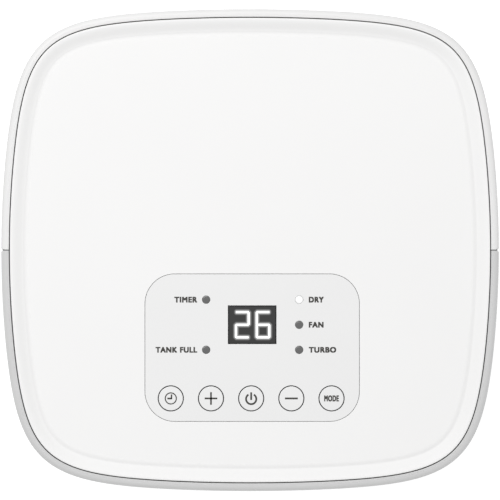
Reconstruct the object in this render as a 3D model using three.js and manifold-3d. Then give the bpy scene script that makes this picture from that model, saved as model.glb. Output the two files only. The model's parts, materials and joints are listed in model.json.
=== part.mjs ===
// A compact room dehumidifier with a compressor, built as the separate pieces it comes apart into.
// Millimetres, +Z up, the front towards -Y, and the origin on the floor under the middle of the casing.

import * as THREE from 'three';
import { mergeVertices } from 'three/addons/utils/BufferGeometryUtils.js';
import Module from 'manifold-3d';

const wasm = await Module();
wasm.setup();

// ---------------------------------------------------------------- driving dimensions

// The casing: half its width, half its depth and its height.
const HALF_X = 126;
const HALF_Y = 122;
const HEIGHT = 410;

// How square the outline is, and how much its sides and its front and back bow.
const CORNER_POWER = 7.23;
const SIDE_BOW = 5.36;
const FRONT_BOW = 6.21;
const OUTLINE_STEPS = 56;
const CORNER_CROWDING = 0.5; // steps lie closer together round the corners

const WALL = 2.5;
const CLEAR = 0.3; // between pieces that touch
const FOOT_HEIGHT = 8;
const FOOT_RADIUS = 10;
const TUCK = 3; // how far the casing draws in at its foot
const TUCK_HEIGHT = 32;

// The rim around the cover, the gap beside it and the dished cover.
const RIM = 4;
const RIM_ROUND = 2.2;
const COVER_GAP = 0.6;
const COVER_BORDER = 8.1;
const COVER_DROP = 3;
const COVER_THICKNESS = 2.5;
const COVER_SKIRT = 9;

// The control panel, let into the cover.
const PANEL_X = 1.1;
const PANEL_Y = -49.4;
const PANEL_WIDTH = 108.4;
const PANEL_DEPTH = 74.5;
const PANEL_CORNER = 15;
const PANEL_THICKNESS = 1.8;
const PANEL_LEDGE = 3;
const DISPLAY_WIDTH = 24.4;
const DISPLAY_DEPTH = 19.4;
const DISPLAY_Y = 11.6; // forward of the panel's middle is negative
const BUTTON_RADIUS = 6.4;
const BUTTON_GAP = 0.4;
const BUTTON_PITCH = 20.35;
const BUTTON_EDGE = 0.95; // from a collar to the ledge under the panel
const COLLAR = 1.2; // wider than the cap all round
const BUTTON_PROUD = 0.3;
const BUTTON_TRAVEL = 1;
const LIGHT_RADIUS = 2;
const BOARD_DROP = 12; // from the cover's plane to the top of the control board

// The tank, its bay and what is on the tank.
const TANK_HEIGHT = 134;
const TANK_WALL = 2.2;
const TANK_CORNER = 14;
const TANK_SIDE = 35; // from the casing's side to the tank
const FASCIA_RISE = 17; // above the tank's top edge
const OPENING_GAP = 0.6;
const HEADROOM = 47; // above the tank, for its handle
const PIPE_ROOM = 20; // above the compressor, for its pipes
const BAY_WALL = 2.5;
const LID_THICKNESS = 2.2;
const HANDLE_RADIUS = 4;
const HANDLE_RISE = 30; // of the bar above its pivots
const HANDLE_CLEAR = 6; // from the fascia to the middle of the bar
const GRIP_HALF = 34;
const GRIP_HEIGHT = 30;
const GRIP_DEPTH = 20;
const GRIP_LIP = 9;
const POUR_WIDTH = 36;
const POUR_DEPTH = 32;

// The refrigeration circuit.
const COMPRESSOR_RADIUS = 46;
const COMPRESSOR_HEIGHT = 152;
const COMPRESSOR_BEHIND = 17.5; // from the rear wall
const COMPRESSOR_BESIDE = 29.5; // from the side wall
const COMPRESSOR_FRONT = 19.5; // from the tank bay
const PIPE_RADIUS = 3;
const CAPILLARY_RADIUS = 1.5;
const COIL_MARGIN = 48; // from the casing's side to the fins
const COIL_BEND = 9; // how far the hairpin bends stand out
const COIL_STUB = 5;
const STUB_FORWARD = PIPE_RADIUS * 2 + 1; // the stubs lie in front of the bends
const EVAPORATOR_DEPTH = 20;
const CONDENSER_DEPTH = 24;
const COIL_SPACE = 4;
const TRAY_DEPTH = 14;

// The fan.
const IMPELLER_WIDTH = 32;
const SCROLL_DEPTH = 44;
const SCROLL_WALL = 2.2;
const SCROLL_GROWTH = 24;
const IMPELLER_CLEAR = 6;
const BLADES = 20;
const MOTOR_RADIUS = 32;
const MOTOR_LENGTH = 42;
const SHAFT_RADIUS = 3;

// Openings in the rear casing.
const GRILLE_MARGIN = 44; // from the casing's side to the opening
const SLOTS = 10;
const GRILLE_DEPTH = 5;
const FILTER_CLEAR = 1.5;
const FILTER_DEPTH = 3;
const LOUVRE_EDGE = 2; // from the duct's outside to the louvre's
const CUP_DEPTH = 24;
const CUP_LENGTH = 72;
const CUP_HEIGHT = 28;
const CUP_FORWARD = 14; // from the seam to the cup
const GLAND_SIDE = 66; // from the casing's side
const GLAND_Z = 40;
const GLAND_RADIUS = 7;
const PLUG_SIDE = 64; // from the other side
const PLUG_RADIUS = 4.2;

// ---------------------------------------------------------------- places worked out from them

const seam = CLEAR;
const coverEdge = RIM + COVER_GAP;
const coverInner = coverEdge + COVER_BORDER;
const coverPlane = HEIGHT - COVER_DROP;
const ledgeZ = HEIGHT - COVER_SKIRT - CLEAR;
const innerX = HALF_X - WALL;
const innerY = HALF_Y - WALL;

const panFloor = FOOT_HEIGHT + 3;
const bayFloor = panFloor + CLEAR + 2;
const tankBottom = bayFloor + 2.7;
const tankTop = tankBottom + TANK_HEIGHT;
const tankHalf = HALF_X - TANK_SIDE;
const fasciaHalf = tankHalf + 8;
const fasciaTop = tankTop + FASCIA_RISE;
const lidTop = tankTop + CLEAR + LID_THICKNESS;
const compressorFoot = panFloor + 14;
const compressorTop = compressorFoot + COMPRESSOR_HEIGHT;
const deckZ = Math.max(tankTop + HEADROOM, compressorTop + PIPE_ROOM);
const deckTop = deckZ + BAY_WALL;

const compressorY = innerY - COMPRESSOR_BEHIND - COMPRESSOR_RADIUS;
const compressorX = -(innerX - COMPRESSOR_BESIDE - COMPRESSOR_RADIUS);
const bayBack = compressorY - COMPRESSOR_RADIUS - COMPRESSOR_FRONT;
const tankBack = bayBack - BAY_WALL - 3;
const pivotY = (tankBack - innerY + 4) / 2;
const pivotZ = tankTop - 22;

const trayBottom = deckTop + 2.5;
const trayTop = trayBottom + TRAY_DEPTH;
const coilHalf = HALF_X - COIL_MARGIN;
const coilBottom = trayTop + 4;
const coilTop = HEIGHT - 28;
const grilleHalf = HALF_X - GRILLE_MARGIN;
const filterBack = outlineDepth(grilleHalf, GRILLE_DEPTH) - FILTER_CLEAR;
const evaporatorBack = filterBack - FILTER_DEPTH - 2.5;
const evaporatorFront = evaporatorBack - EVAPORATOR_DEPTH;
const condenserBack = evaporatorFront - COIL_SPACE;
const condenserFront = condenserBack - CONDENSER_DEPTH;
const scrollBack = condenserFront - 6;
const scrollFront = scrollBack - SCROLL_DEPTH;
const boardTop = coverPlane - BOARD_DROP;
const grilleBottom = coilBottom + 6;
const grilleTop = HEIGHT - 23;
const glandX = HALF_X - GLAND_SIDE;
const plugX = PLUG_SIDE - HALF_X;
const cupTop = HEIGHT - 43;
const cupBottom = cupTop - CUP_HEIGHT;

// The scroll fills the height between the drain channel and the control board.
const scrollEnd = (boardTop - 8 - trayBottom - 7) / 2 + 2;
const scrollStart = scrollEnd - SCROLL_GROWTH;
const impellerRadius = scrollStart - IMPELLER_CLEAR;
const fanZ = trayBottom + 8 + scrollEnd;
const tongue = Math.PI / 6;
const ductTop = fanZ - scrollStart * Math.sin(tongue);
const ductBottom = fanZ - scrollEnd;

// ---------------------------------------------------------------- solids

// A closed body from a three.js geometry, its faces turned outwards.
function solid(geometry) {
  geometry.deleteAttribute('normal');
  geometry.deleteAttribute('uv');
  const merged = mergeVertices(geometry, 1e-4);
  const vertProperties = new Float32Array(merged.attributes.position.array);
  const triVerts = new Uint32Array(merged.index.array);
  if (signedVolume(vertProperties, triVerts) < 0) {
    for (let i = 0; i < triVerts.length; i += 3) {
      [triVerts[i], triVerts[i + 1]] = [triVerts[i + 1], triVerts[i]];
    }
  }
  return new wasm.Manifold(new wasm.Mesh({ numProp: 3, vertProperties, triVerts }));
}

function signedVolume(vertices, triangles) {
  const corner = (index) => new THREE.Vector3().fromArray(vertices, 3 * index);
  let volume = 0;
  for (let i = 0; i < triangles.length; i += 3) {
    const [a, b, c] = [0, 1, 2].map((k) => corner(triangles[i + k]));
    volume += a.dot(b.cross(c)) / 6;
  }
  return volume;
}

function geometryOf(body) {
  const { vertProperties, triVerts } = body.getMesh();
  const geometry = new THREE.BufferGeometry();
  geometry.setAttribute('position', new THREE.BufferAttribute(vertProperties, 3));
  geometry.setIndex(new THREE.BufferAttribute(triVerts, 1));
  geometry.computeVertexNormals();
  return geometry;
}

const join = (first, ...rest) => rest.reduce((body, other) => body.add(other), first);
const cut = (first, ...rest) => rest.reduce((body, other) => body.subtract(other), first);
const common = (first, ...rest) => rest.reduce((body, other) => body.intersect(other), first);

function block([x0, x1], [y0, y1], [z0, z1]) {
  const geometry = new THREE.BoxGeometry(x1 - x0, y1 - y0, z1 - z0);
  return solid(geometry.translate((x0 + x1) / 2, (y0 + y1) / 2, (z0 + z1) / 2));
}

// A round bar along an axis, its centre line through (u, v) in the other two.
function rod(axis, radius, [from, to], [u, v], sides = 20) {
  const geometry = new THREE.CylinderGeometry(radius, radius, to - from, sides);
  const middle = (from + to) / 2;
  if (axis === 'x') return solid(geometry.rotateZ(Math.PI / 2).translate(middle, u, v));
  if (axis === 'y') return solid(geometry.translate(u, middle, v));
  return solid(geometry.rotateX(Math.PI / 2).translate(u, v, middle));
}

// A turned piece standing on Z, from a profile of [radius, z] that starts and ends on the axis.
function turned(profile, [x, y], sides = 24) {
  const points = profile.map(([radius, z]) => new THREE.Vector2(radius, z));
  return solid(new THREE.LatheGeometry(points, sides).rotateX(Math.PI / 2).translate(x, y, 0));
}

function roundedRectangle([x0, x1], [y0, y1], radius) {
  const shape = new THREE.Shape();
  shape.absarc(x1 - radius, y1 - radius, radius, 0, Math.PI / 2);
  shape.absarc(x0 + radius, y1 - radius, radius, Math.PI / 2, Math.PI);
  shape.absarc(x0 + radius, y0 + radius, radius, Math.PI, 1.5 * Math.PI);
  shape.absarc(x1 - radius, y0 + radius, radius, 1.5 * Math.PI, 2 * Math.PI);
  return shape;
}

function extruded(shape, [z0, z1], curveSegments = 4) {
  const geometry = new THREE.ExtrudeGeometry(shape, { depth: z1 - z0, bevelEnabled: false, curveSegments });
  return solid(geometry.translate(0, 0, z0));
}

function roundedBlock(xs, ys, zs, radius, curveSegments = 4) {
  return extruded(roundedRectangle(xs, ys, radius), zs, curveSegments);
}

// A round tube along a smooth curve through the points.
function pipe(points, radius, steps = 24, sides = 8) {
  const section = new THREE.Shape();
  section.setFromPoints(Array.from({ length: sides }, (_, i) => {
    const angle = (2 * Math.PI * i) / sides;
    return new THREE.Vector2(radius * Math.cos(angle), radius * Math.sin(angle));
  }));
  const corners = points.map((point) => new THREE.Vector3(...point));
  const extrudePath = new THREE.CatmullRomCurve3(corners, false, 'centripetal');
  return solid(new THREE.ExtrudeGeometry(section, { steps, extrudePath, bevelEnabled: false }));
}

// ---------------------------------------------------------------- the casing's outline

// The outline is a rounded square with bowed sides, given as a radius for each direction.
function outlineRadius(angle) {
  const side = Math.abs(Math.cos(angle)) ** SIDE_BOW / HALF_X ** CORNER_POWER;
  const front = Math.abs(Math.sin(angle)) ** FRONT_BOW / HALF_Y ** CORNER_POWER;
  return (side + front) ** (-1 / CORNER_POWER);
}

// A point of the outline moved inwards, square to it.
function outlinePoint(angle, inset) {
  const at = (turn) => new THREE.Vector2(Math.cos(turn), Math.sin(turn)).multiplyScalar(outlineRadius(turn));
  const step = 1e-4;
  const along = at(angle + step).sub(at(angle - step)).normalize();
  return at(angle).sub(new THREE.Vector2(along.y, -along.x).multiplyScalar(inset));
}

// Even turns, crowded towards the four corners.
const crowded = (turn) => turn + (CORNER_CROWDING / 4) * Math.sin(4 * turn);

function prism(inset, zs) {
  const turns = Array.from({ length: OUTLINE_STEPS }, (_, i) => crowded((2 * Math.PI * i) / OUTLINE_STEPS));
  return extruded(new THREE.Shape(turns.map((turn) => outlinePoint(turn, inset))), zs);
}

// A closed profile of [inset, z] carried round the outline: a lathe turning, reshaped to it.
function ring(profile) {
  const reference = HALF_X + HALF_Y;
  const points = [...profile, profile[0]].map(([inset, z]) => new THREE.Vector2(reference - inset, z));
  const geometry = new THREE.LatheGeometry(points, OUTLINE_STEPS).rotateX(Math.PI / 2);
  const position = geometry.attributes.position;
  for (let i = 0; i < position.count; i += 1) {
    const inset = reference - Math.hypot(position.getX(i), position.getY(i));
    const turn = Math.atan2(position.getY(i), position.getX(i));
    const { x, y } = outlinePoint(crowded(turn), inset);
    position.setXY(i, x, y);
  }
  return solid(geometry);
}

// A straight wall between two insets.
function shell([outer, inner], [z0, z1]) {
  return ring([[outer, z0], [outer, z1], [inner, z1], [inner, z0]]);
}

// How far back the outline lies at a given x.
function outlineDepth(x, inset) {
  let [low, high] = [0, Math.PI / 2];
  for (let i = 0; i < 40; i += 1) {
    const middle = (low + high) / 2;
    if (outlinePoint(middle, inset).x > x) low = middle;
    else high = middle;
  }
  return outlinePoint(low, inset).y;
}

// ---------------------------------------------------------------- materials

function material(color, roughness, metalness = 0) {
  return new THREE.MeshStandardMaterial({ color, roughness, metalness });
}

const white = material(0xf4f3f2, 0.45);
const lightGrey = material(0xd1d1d1, 0.5);
const panelGrey = material(0xeeecec, 0.35);
const smoked = material(0x464445, 0.15);
const digits = material(0x2c2c30, 0.5);
const lens = material(0x6e6c6e, 0.3);
const board = material(0x1f6b43, 0.5);
const clear = material(0xc9d6dc, 0.1);
const steelBlack = material(0x202224, 0.4, 0.6);
const copper = material(0xb8734a, 0.3, 1);
const fins = material(0xc8ccd0, 0.35, 1);
const greyPlastic = material(0x8d9092, 0.6);
const blackPlastic = material(0x2a2b2c, 0.5);
const rubber = material(0x1d1d1d, 0.9);
const filterMesh = material(0x3b3e41, 0.9);
const steel = material(0xa9adb0, 0.35, 1);

const model = new THREE.Group();

function part(name, body, finish, position = [0, 0, 0]) {
  const mesh = new THREE.Mesh(geometryOf(body), finish);
  mesh.name = name;
  mesh.position.set(...position);
  model.add(mesh);
}

// ---------------------------------------------------------------- casings

// Both casings are halves of this wall, with its rounded rim and the ledge that the cover rests on.
function casingWall() {
  const inner = TUCK + WALL;
  return ring([
    [TUCK, FOOT_HEIGHT],
    [TUCK * 0.25, FOOT_HEIGHT + TUCK_HEIGHT * 0.5],
    [0, FOOT_HEIGHT + TUCK_HEIGHT],
    [0, HEIGHT - RIM_ROUND],
    [RIM_ROUND * 0.29, HEIGHT - RIM_ROUND * 0.29],
    [RIM_ROUND, HEIGHT],
    [RIM, HEIGHT],
    [RIM, ledgeZ],
    [RIM + 4, ledgeZ],
    [RIM + 4, ledgeZ - 2],
    [WALL, ledgeZ - 6],
    [WALL, FOOT_HEIGHT + TUCK_HEIGHT],
    [WALL + TUCK * 0.25, FOOT_HEIGHT + TUCK_HEIGHT * 0.5],
    [inner, FOOT_HEIGHT],
  ]);
}

const far = HALF_X + HALF_Y;
const tankOpening = block(
  [-fasciaHalf - OPENING_GAP, fasciaHalf + OPENING_GAP],
  [-far, -HALF_Y / 2],
  [tankBottom - 1 - OPENING_GAP, fasciaTop + OPENING_GAP],
);

function casings() {
  const wall = casingWall();
  const front = common(wall, block([-far, far], [-far, -seam], [0, HEIGHT + 1]));
  part('front_casing', cut(front, tankOpening), lightGrey);

  const rear = common(wall, block([-far, far], [seam, far], [0, HEIGHT + 1]));
  const glandHole = rod('y', GLAND_RADIUS + CLEAR, [innerY - 20, far], [glandX, GLAND_Z]);
  const plugHole = rod('y', PLUG_RADIUS + 5, [innerY - 20, far], [plugX, plugZ]);
  part('rear_casing', cut(rear, grilleOpening(OPENING_GAP), louvreOpening(OPENING_GAP),
    cupOpening(-1), cupOpening(1), glandHole, plugHole), white);
}

const grow = ([from, to], by) => [from - by, to + by];
const shrink = (range, by) => grow(range, -by);

function grilleOpening(gap) {
  return block(grow([-grilleHalf, grilleHalf], gap), [HALF_Y / 2, far], grow([grilleBottom, grilleTop], gap));
}

// The louvre covers the mouth of the fan's scroll, in the right-hand side.
function louvreOpening(gap) {
  const ys = shrink([scrollFront, scrollBack], LOUVRE_EDGE - gap);
  const zs = shrink([ductBottom, ductTop], LOUVRE_EDGE - gap);
  return block([HALF_X / 2, far], ys, zs);
}

function cupOpening(side) {
  const xs = side > 0 ? [HALF_X / 2, far] : [-far, -HALF_X / 2];
  return block(xs, [CUP_FORWARD, CUP_FORWARD + CUP_LENGTH], [cupBottom, cupTop]);
}

// A carrying handle moulded as an open cup behind the opening in each side.
function handleCup(name, side) {
  const [x0, x1] = [HALF_X - CUP_DEPTH, far].map((x) => side * x).sort((a, b) => a - b);
  const [in0, in1] = [HALF_X - CUP_DEPTH + 2, far].map((x) => side * x).sort((a, b) => a - b);
  const ys = [CUP_FORWARD, CUP_FORWARD + CUP_LENGTH];
  const outside = common(
    prism(WALL + CLEAR, [cupBottom - 2, cupTop + 2]),
    block([x0, x1], [ys[0] - 2, ys[1] + 2], [cupBottom - 2, cupTop + 2]),
  );
  part(name, cut(outside, block([in0, in1], ys, [cupBottom, cupTop])), white);
}

function base() {
  const inset = TUCK + WALL + 0.4;
  const plate = prism(inset, [FOOT_HEIGHT, panFloor]);
  const upstand = shell([inset, inset + 2], [FOOT_HEIGHT, panFloor + 12]);
  const doorway = block([-fasciaHalf - 2, fasciaHalf + 2], [-far, -HALF_Y / 2], [panFloor, far]);
  part('base_pan', cut(join(plate, upstand), doorway), blackPlastic);

  const footTop = FOOT_HEIGHT - CLEAR;
  const bevel = 1.5;
  const foot = turned([
    [0, 0], [FOOT_RADIUS - bevel, 0], [FOOT_RADIUS, bevel], [FOOT_RADIUS, footTop], [0, footTop],
  ], [0, 0]);
  const footX = HALF_X - 42;
  const footY = HALF_Y - 40;
  for (const [row, y] of [['front', -footY], ['rear', footY]]) {
    part(`foot_${row}_left`, foot, rubber, [-footX, y, 0]);
    part(`foot_${row}_right`, foot, rubber, [footX, y, 0]);
  }
}

// ---------------------------------------------------------------- top cover and controls

const panelX = [PANEL_X - PANEL_WIDTH / 2, PANEL_X + PANEL_WIDTH / 2];
const panelY = [PANEL_Y - PANEL_DEPTH / 2, PANEL_Y + PANEL_DEPTH / 2];
const panelBottom = coverPlane - PANEL_THICKNESS;

function topCover() {
  const edgeTop = HEIGHT - 0.3;
  const skirtBottom = HEIGHT - COVER_SKIRT;
  const border = ring([
    [coverEdge, skirtBottom],
    [coverEdge, edgeTop - 0.6],
    [coverEdge + 0.6, edgeTop],
    [coverInner, coverPlane],
    [coverInner + 2, coverPlane],
    [coverInner + 2, coverPlane - COVER_THICKNESS],
    [coverInner - 1, coverPlane - COVER_THICKNESS],
    [coverEdge + WALL, edgeTop - WALL - 1],
    [coverEdge + WALL, skirtBottom],
  ]);
  const plate = prism(coverInner + 1, [coverPlane - COVER_THICKNESS, coverPlane]);
  const recess = roundedBlock(shrink(panelX, -CLEAR), shrink(panelY, -CLEAR),
    [panelBottom - CLEAR, HEIGHT], PANEL_CORNER + CLEAR);
  const through = roundedBlock(shrink(panelX, PANEL_LEDGE), shrink(panelY, PANEL_LEDGE),
    [0, HEIGHT], PANEL_CORNER - PANEL_LEDGE);
  const tray = roundedBlock(shrink(panelX, -3), shrink(panelY, -3),
    [panelBottom - CLEAR - 1.5, coverPlane - COVER_THICKNESS / 2], PANEL_CORNER + 3);
  const postX = shrink(panelX, -1);
  const postY = shrink(panelY, 12);
  const posts = postX.flatMap((x) => postY.map((y) => (
    rod('z', 3, [boardTop + CLEAR, panelBottom - 1], [x, y], 12))));
  part('top_cover', join(cut(join(border, plate, tray), recess, through), ...posts), white);
}

const buttonNames = ['timer', 'plus', 'power', 'minus', 'mode'];
const buttonY = panelY[0] + PANEL_LEDGE + BUTTON_EDGE + COLLAR + BUTTON_RADIUS;
const buttonPlace = (index) => [PANEL_X - 0.5 + (index - 2) * BUTTON_PITCH, buttonY];

// The indicator lights, in two columns beside the display.
const LIGHT_COLUMN_LEFT = -23.3;
const LIGHT_COLUMN_RIGHT = 23.8;
const LIGHT_ROW = 24.3;
const LIGHT_SPACING = 12.7;
const lightPlaces = {
  timer: [LIGHT_COLUMN_LEFT, LIGHT_ROW],
  tank_full: [LIGHT_COLUMN_LEFT, LIGHT_ROW - 2 * LIGHT_SPACING],
  dry: [LIGHT_COLUMN_RIGHT, LIGHT_ROW],
  fan: [LIGHT_COLUMN_RIGHT, LIGHT_ROW - LIGHT_SPACING],
  turbo: [LIGHT_COLUMN_RIGHT, LIGHT_ROW - 2 * LIGHT_SPACING],
};
const displayX = [PANEL_X - DISPLAY_WIDTH / 2, PANEL_X + DISPLAY_WIDTH / 2];
const displayY = [PANEL_Y + DISPLAY_Y - DISPLAY_DEPTH / 2, PANEL_Y + DISPLAY_Y + DISPLAY_DEPTH / 2];

function controls() {
  const blank = roundedBlock(panelX, panelY, [panelBottom, coverPlane], PANEL_CORNER);
  const buttonHoles = buttonNames.map((_, i) => (
    rod('z', BUTTON_RADIUS + BUTTON_GAP, [0, HEIGHT], buttonPlace(i), 24)));
  const lightHoles = Object.values(lightPlaces).map(([x, y]) => (
    rod('z', LIGHT_RADIUS + CLEAR / 2, [0, HEIGHT], [PANEL_X + x, PANEL_Y + y], 12)));
  const windowHole = block(shrink(displayX, -CLEAR / 2), shrink(displayY, -CLEAR / 2), [0, HEIGHT]);
  part('control_panel', cut(blank, windowHole, ...buttonHoles, ...lightHoles), panelGrey);
  part('display_window', block(displayX, displayY, [panelBottom, coverPlane]), smoked);
  part('display_module', block(displayX, displayY, [boardTop + CLEAR, panelBottom - CLEAR]), digits);

  // Each button is a cap with a collar under the panel that keeps it in.
  const collarTop = panelBottom - CLEAR;
  const cap = turned([
    [0, collarTop - 1.4],
    [BUTTON_RADIUS + COLLAR, collarTop - 1.4],
    [BUTTON_RADIUS + COLLAR, collarTop],
    [BUTTON_RADIUS, collarTop],
    [BUTTON_RADIUS, coverPlane + BUTTON_PROUD - 0.3],
    [BUTTON_RADIUS - 0.3, coverPlane + BUTTON_PROUD],
    [0, coverPlane + BUTTON_PROUD],
  ], [0, 0], 20);
  buttonNames.forEach((name, i) => part(`button_${name}`, cap, panelGrey, [...buttonPlace(i), 0]));

  const lightBody = rod('z', LIGHT_RADIUS, [boardTop + CLEAR, coverPlane], [0, 0], 12);
  for (const [name, [x, y]] of Object.entries(lightPlaces)) {
    part(`light_${name}`, lightBody, lens, [PANEL_X + x, PANEL_Y + y, 0]);
  }

  // The board carries a small switch under each button.
  const plate = block(shrink(panelX, -4), shrink(panelY, 8), [boardTop - 1.6, boardTop]);
  const switchTop = collarTop - 1.4 - BUTTON_TRAVEL - CLEAR;
  const switches = buttonNames.map((_, i) => {
    const [x, y] = buttonPlace(i);
    return block([x - 3, x + 3], [y - 3, y + 3], [boardTop - 0.5, switchTop]);
  });
  const socketX = [PANEL_X - 12, PANEL_X + 12];
  const socket = block(socketX, [panelY[1] - 22, panelY[1] - 14], [boardTop - 8, boardTop - 1]);
  part('control_board', join(plate, socket, ...switches), board);
}

// ---------------------------------------------------------------- tank bay and tank

const spoutY = tankBack - 19;
const switchX = -60;
const switchZ = tankTop - 20;

function tankBay() {
  const inset = TUCK + WALL + 3;
  const inFrontOf = (y) => block([-far, far], [-far, y], [0, HEIGHT]);
  const floor = common(prism(inset, [panFloor + CLEAR, bayFloor]), inFrontOf(bayBack));
  const deck = common(prism(inset, [deckZ, deckTop]), inFrontOf(scrollFront + 4));
  const back = block([-innerX + 7, innerX - 7], [bayBack - BAY_WALL, bayBack], [panFloor + CLEAR, deckTop]);
  const runnerTop = tankBottom - CLEAR;
  const railFront = 24.5 - innerY;
  const runnerX = tankHalf - 20;
  const runners = [-runnerX, runnerX].map((x) => (
    block([x - 3, x + 3], [railFront, bayBack], [bayFloor - 1, runnerTop])));
  const railX = tankHalf + 6;
  const rails = [-railX, railX].map((x) => (
    block([x - 1.2, x + 1.2], [railFront, bayBack], [bayFloor - 1, bayFloor + 26])));
  const spoutHole = rod('z', 8, [deckZ - 1, deckTop + 1], [0, spoutY]);
  const switchHole = rod('y', 3.5, [bayBack - 10, bayBack + 10], [switchX, switchZ], 14);
  part('tank_bay', cut(join(floor, deck, back, ...runners, ...rails), spoutHole, switchHole), greyPlastic);
}

// The tank's plan at a given depth of wall, from z0 to z1.
function tankPlan(inward, zs) {
  return common(
    prism(TUCK + WALL + 0.7 + inward, zs),
    roundedBlock(shrink([-tankHalf, tankHalf], inward), [-far, tankBack - inward], zs, TANK_CORNER - inward),
  );
}

// The finger grip is a pocket in the front of the tank.
function gripPocket(extra) {
  const back = -HALF_Y + GRIP_DEPTH + extra;
  const top = tankTop - 3;
  return block(grow([-GRIP_HALF, GRIP_HALF], extra), [-far, back], grow([top - GRIP_HEIGHT, top], extra));
}

const windowX = [tankHalf - 34, tankHalf - 22];
const windowZ = [tankBottom + 26, tankTop - 20];

function tank() {
  const outside = tankPlan(0, [tankBottom, tankTop]);
  const inside = cut(tankPlan(TANK_WALL, [tankBottom + TANK_WALL, tankTop + 5]), gripPocket(TANK_WALL));
  const pivots = [-1, 1].map((side) => {
    const span = [side * (tankHalf - 1), side * (tankHalf + 5)].sort((a, b) => a - b);
    return rod('x', 3, span, [pivotY, pivotZ], 16);
  });
  part('water_tank', join(cut(outside, inside, gripPocket(0)), ...pivots), clear);

  const doorway = block([-fasciaHalf, fasciaHalf], [-far, -HALF_Y / 2], [tankBottom - 1, fasciaTop]);
  const front = common(casingWall(), doorway);
  const gripTop = tankTop - 3 - GRIP_LIP;
  const gripHole = block([-GRIP_HALF + 1, GRIP_HALF - 1], [-far, 0], [tankTop - 3 - GRIP_HEIGHT, gripTop]);
  const sight = block(shrink(windowX, -CLEAR), [-far, 0], shrink(windowZ, -CLEAR));
  part('tank_fascia', cut(front, gripHole, sight), lightGrey);
  const pane = common(shell([0.4, WALL], windowZ), block(windowX, [-far, -HALF_Y / 2], windowZ));
  part('tank_window', pane, clear);
}

const pourX = [tankHalf - 49, tankHalf - 49 + POUR_WIDTH];
const pourY = [tankBack - 5 - POUR_DEPTH, tankBack - 5];
const flapHingeY = pourY[0] - 1.5;
const flapHingeZ = lidTop + 2.5;
const inletRadius = 15;

function tankLid() {
  const plate = tankPlan(0, [tankTop + CLEAR, lidTop]);
  const lip = cut(
    tankPlan(TANK_WALL + 0.4, [tankTop - 5, tankTop + CLEAR + 0.5]),
    tankPlan(TANK_WALL + 2.2, [tankTop - 6, tankTop + 2]),
    gripPocket(TANK_WALL + CLEAR),
  );
  const ears = [pourX[0] - 3.5, pourX[1] + 0.5].map((x) => (
    block([x, x + 3], [flapHingeY - 2.5, flapHingeY + 2.5], [lidTop - 1, flapHingeZ + 2.5])));
  const pinHole = rod('x', 1.5, [pourX[0] - 5, pourX[1] + 5], [flapHingeY, flapHingeZ], 12);
  const inlet = rod('z', inletRadius, [tankTop - 2, lidTop + 2], [0, spoutY], 28);
  const mouth = roundedBlock(shrink(pourX, 3), shrink(pourY, 3), [tankTop - 2, lidTop + 2], 5);
  part('tank_lid', cut(join(plate, lip, ...ears), pinHole, inlet, mouth), greyPlastic);

  const flap = roundedBlock(pourX, [flapHingeY, pourY[1]], [lidTop + CLEAR, lidTop + CLEAR + 1.6], 1);
  const barrel = rod('x', 1.9, pourX, [flapHingeY, flapHingeZ], 14);
  const pin = rod('x', 1.1, [pourX[0] - 3, pourX[1] + 3], [flapHingeY, flapHingeZ], 12);
  part('pour_flap', join(flap, barrel, pin), greyPlastic);
}

function tankHandle() {
  const armX = tankHalf + 2.8;
  const barY = -outlineDepth(armX + 1.5, WALL + HANDLE_CLEAR);
  const barZ = pivotZ + HANDLE_RISE;
  const reach = pivotY - barY;
  const arms = [-1, 1].map((side) => {
    const length = Math.hypot(reach, HANDLE_RISE);
    const arm = roundedBlock([-6, length + 4], [-5, 5], [-1.5, 1.5], 4.9);
    const lean = THREE.MathUtils.radToDeg(Math.atan2(HANDLE_RISE, -reach));
    // Laid flat, turned to the lean, stood up in the side plane and set on the pivot.
    const placed = arm.rotate([0, 0, lean]).rotate([90, 0, 90]).translate([side * armX, pivotY, pivotZ]);
    return cut(placed, rod('x', 3.3, [side * armX - 3, side * armX + 3], [pivotY, pivotZ], 16));
  });
  const bar = rod('x', HANDLE_RADIUS, [-armX - 1.5, armX + 1.5], [barY, barZ], 14);
  part('tank_handle', join(bar, ...arms), blackPlastic);
}

// The float swings on a bracket under the lid and lifts its magnet as the tank fills.
const floatX = [-tankHalf + 8, -tankHalf + 42];
const floatHingeY = tankBack - 25;
const floatHingeZ = tankTop - 15;

function float() {
  const middle = (floatX[0] + floatX[1]) / 2;
  const hangers = [middle - 8, middle + 6].map((x) => (
    block([x, x + 2], [floatHingeY - 4, floatHingeY + 4], [floatHingeZ - 4.5, tankTop - 1])));
  const top = block([middle - 9, middle + 9], [floatHingeY - 6, floatHingeY + 6], [tankTop - 3, tankTop]);
  const bore = rod('x', 2.4, [middle - 12, middle + 12], [floatHingeY, floatHingeZ], 14);
  part('float_bracket', cut(join(top, ...hangers), bore), greyPlastic);

  const [y, z] = [floatHingeY, floatHingeZ];
  const armX = [middle - 4, middle + 4];
  const body = roundedBlock(floatX, [y - 46, y - 12], [z - 32, z - 12], 5);
  const arm = block(armX, [y - 20, y + 2], [z - 14, z - 10]);
  const neck = block(armX, [y - 2, y + 2], [z - 14, z]);
  const pin = rod('x', 2, [middle - 10, middle + 10], [floatHingeY, floatHingeZ], 14);
  part('tank_float', join(body, arm, neck, pin), white);
}

// A switch behind the bay's wall that the tank holds down while it is home.
function tankSwitch() {
  const bodyY = [bayBack + CLEAR, bayBack + 12];
  const body = block([switchX - 11, switchX + 11], bodyY, [switchZ - 7, switchZ + 7]);
  const bore = rod('y', 2.9, [bayBack - 1, bayBack + 9], [switchX, switchZ], 14);
  part('tank_switch', cut(body, bore), blackPlastic);
  part('tank_switch_plunger', rod('y', 2.5, [tankBack + 0.5, bayBack + 6], [switchX, switchZ], 14), white);
}

// ---------------------------------------------------------------- refrigeration circuit

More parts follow.
